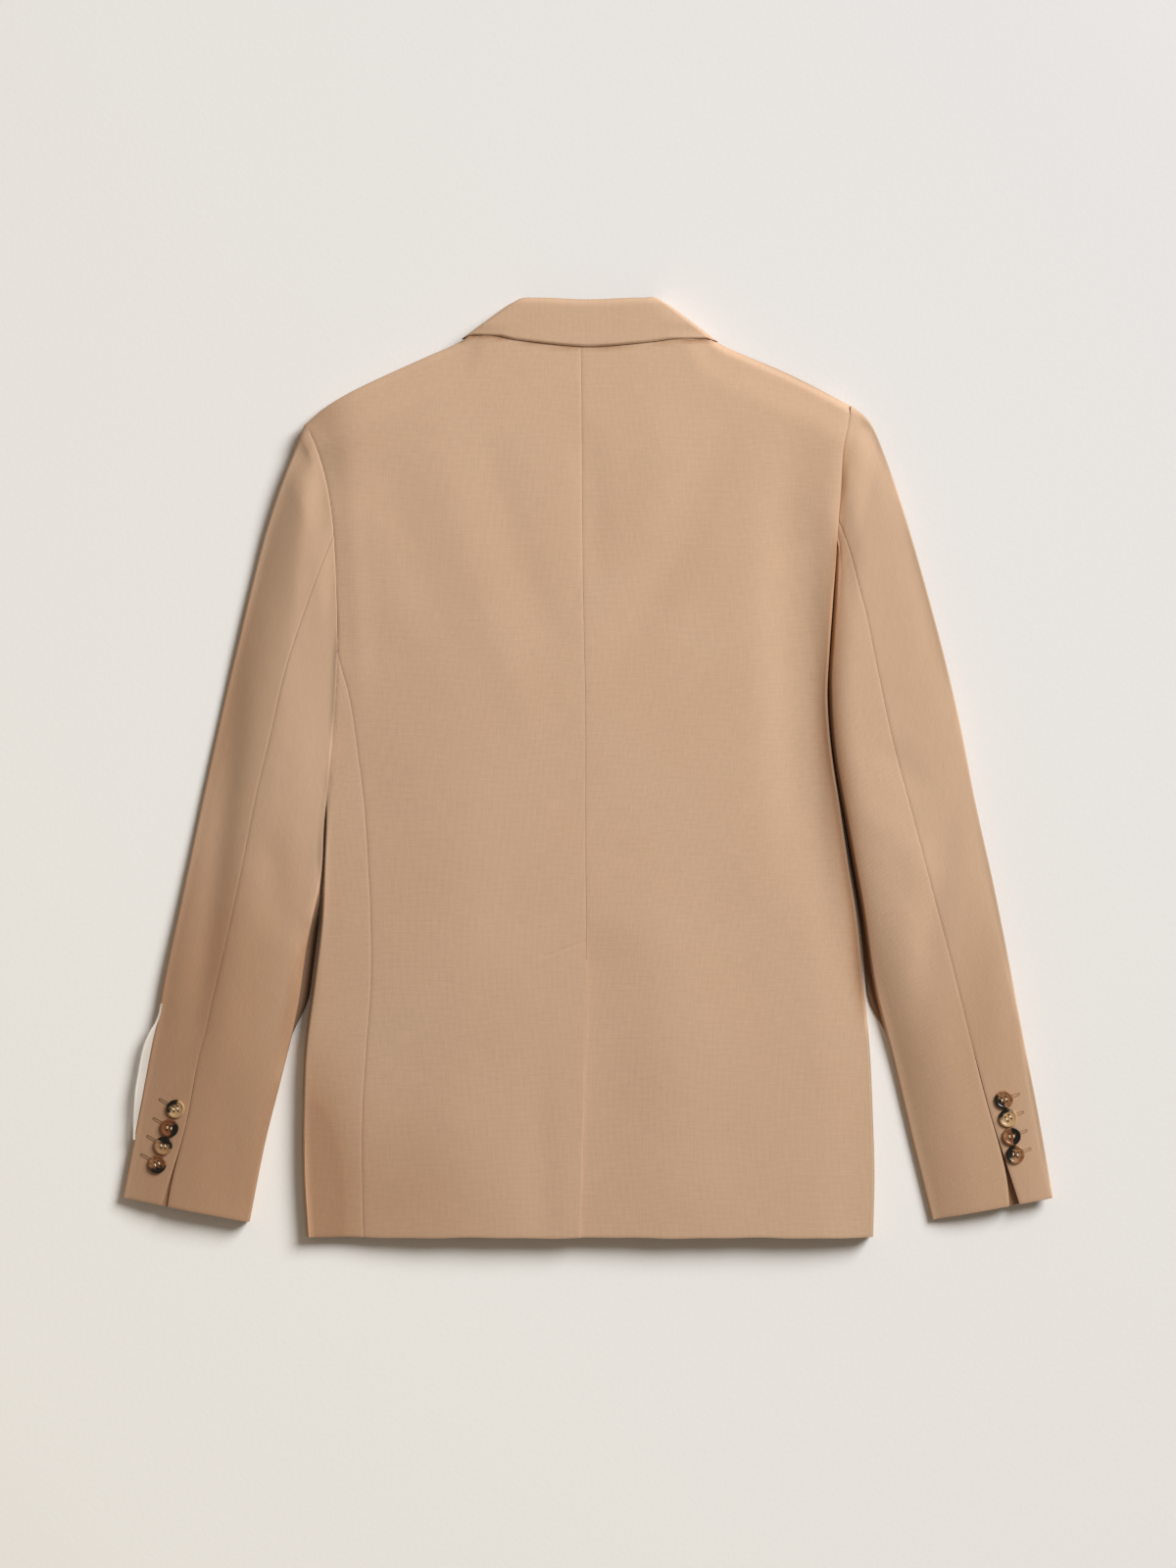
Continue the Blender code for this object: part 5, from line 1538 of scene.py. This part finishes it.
def make_buttonholes(side, horns, sleeve, run, silk):
    choose()
    bpy.ops.mesh.primitive_ico_sphere_add(subdivisions=1, radius=MM)
    stitch = bpy.context.object
    length, way = abs(run), run / abs(run)
    rows = np.arange(BUTTON_RADIUS - HOLE_START, length - RING_RADIUS, STITCH_STEP)
    stitches = [(row + 1j * half, 90.0) for row in rows for half in (-HOLE_HALF, HOLE_HALF)]
    stitches += [(length + RING_RADIUS * np.exp(1j * math.radians(a)), a) for a in RING_ANGLES]
    bits = []
    for horn in horns:
        seat_at = horn.place + run * HOLE_SEAT
        middle, up = seat(sleeve, seat_at, HOLE_REACH)
        for off, turn in stitches:
            here = horn.place + off * way
            lean = here - seat_at
            z = middle - (up.x * lean.real + up.y * lean.imag) / up.z + STITCH_RISE
            angle = math.degrees(np.angle(way)) + turn
            bits.append(copy_to(stitch, Matrix.Diagonal((*STITCH, 1.0)), here, z, up, angle))
    bpy.data.objects.remove(stitch)
    join_pieces("buttonhole_stitches_" + side, bits, silk).data.shade_smooth()


make_buttonholes("left", HORNS_LEFT, sleeve_left, HOLE_LEFT,
                 cotton_thread("shaded_buttonhole_silk", SILK_SHADED))
make_buttonholes("right", HORNS_RIGHT, sleeve_right, HOLE_RIGHT,
                 cotton_thread("lit_buttonhole_silk", SILK_LIT))


# ---------------------------------------------------------------- floor, light, camera
# A wide sheet of warm off-white paper, a broad soft lamp up to the right, pale
# light from all round, and a camera straight above.

LAMP_TURN = 42.0       # from +X towards +Y, and up from the surface, in degrees
LAMP_RISE = 35.0
LAMP_AWAY = 5.8
LAMP_SIZE = 3.1
LAMP_POWER = 466.0
LAMP_WHITE = (1.0, 1.0, 1.0)
SKY = 0.235
SKY_WARM = (1.0, 0.81, 0.63, 1.0)
PAPER_NEAR = "#D5D5D6"  # the sweep is a little greyer toward the lamp, so it reads as even
PAPER_FAR = "#FBFBF7"
PAPER_SPAN = 1.35
PAPER_TURN = 42.0
FLOOR_SIZE = 6.0
FLOOR_DROP = 0.0003
CAMERA_AT = (0.0004, -0.0127, 2.921)


def make_floor():
    choose()
    bpy.ops.mesh.primitive_plane_add(size=FLOOR_SIZE, location=(0.0, 0.0, -FLOOR_DROP))
    floor = bpy.context.object
    floor.name = "floor"
    made, tree, shader = surface("uncoated_paper")
    place = add(tree, "ShaderNodeTexCoord", {}, "Object")
    turn = math.radians(PAPER_TURN)
    away = (math.cos(turn), math.sin(turn), 0.0)
    toward = add(tree, "ShaderNodeVectorMath", {0: place, 1: away}, "Value", operation="DOT_PRODUCT")
    share = ranged(tree, toward, -PAPER_SPAN / 2, PAPER_SPAN / 2)
    bump = add(tree, "ShaderNodeBump", {
        "Height": noise(tree, place, 260.0, 4.0), "Strength": 0.12, "Distance": 0.0006})
    plug(tree, shader, {
        "Base Color": blend(tree, share, linear(PAPER_FAR), linear(PAPER_NEAR)),
        "Normal": bump, "Roughness": 0.95, "Specular IOR Level": 0.1})
    floor.data.materials.append(made)


def make_light():
    turn, rise = math.radians(LAMP_TURN), math.radians(LAMP_RISE)
    away = Vector((math.cos(turn) * math.cos(rise), math.sin(turn) * math.cos(rise), math.sin(rise)))
    lamp = bpy.data.lights.new("key", "AREA")
    lamp.shape = "DISK"
    lamp.size = LAMP_SIZE
    lamp.energy = LAMP_POWER
    lamp.color = LAMP_WHITE
    key = put("key", lamp)
    key.location = away * LAMP_AWAY
    key.rotation_euler = away.to_track_quat("Z", "Y").to_euler()
    world = bpy.data.worlds.new("studio")
    world.use_nodes = True
    background = world.node_tree.nodes["Background"]
    plug(world.node_tree, background, {"Color": SKY_WARM, "Strength": SKY})
    bpy.context.scene.world = world
    bpy.context.scene.view_settings.view_transform = "Standard"


def make_camera():
    lens = bpy.data.cameras.new("camera")
    lens.lens = 85.0
    lens.sensor_width = 36.0
    camera = put("camera", lens)
    camera.location = CAMERA_AT
    bpy.context.scene.camera = camera


make_floor()
make_light()
make_camera()
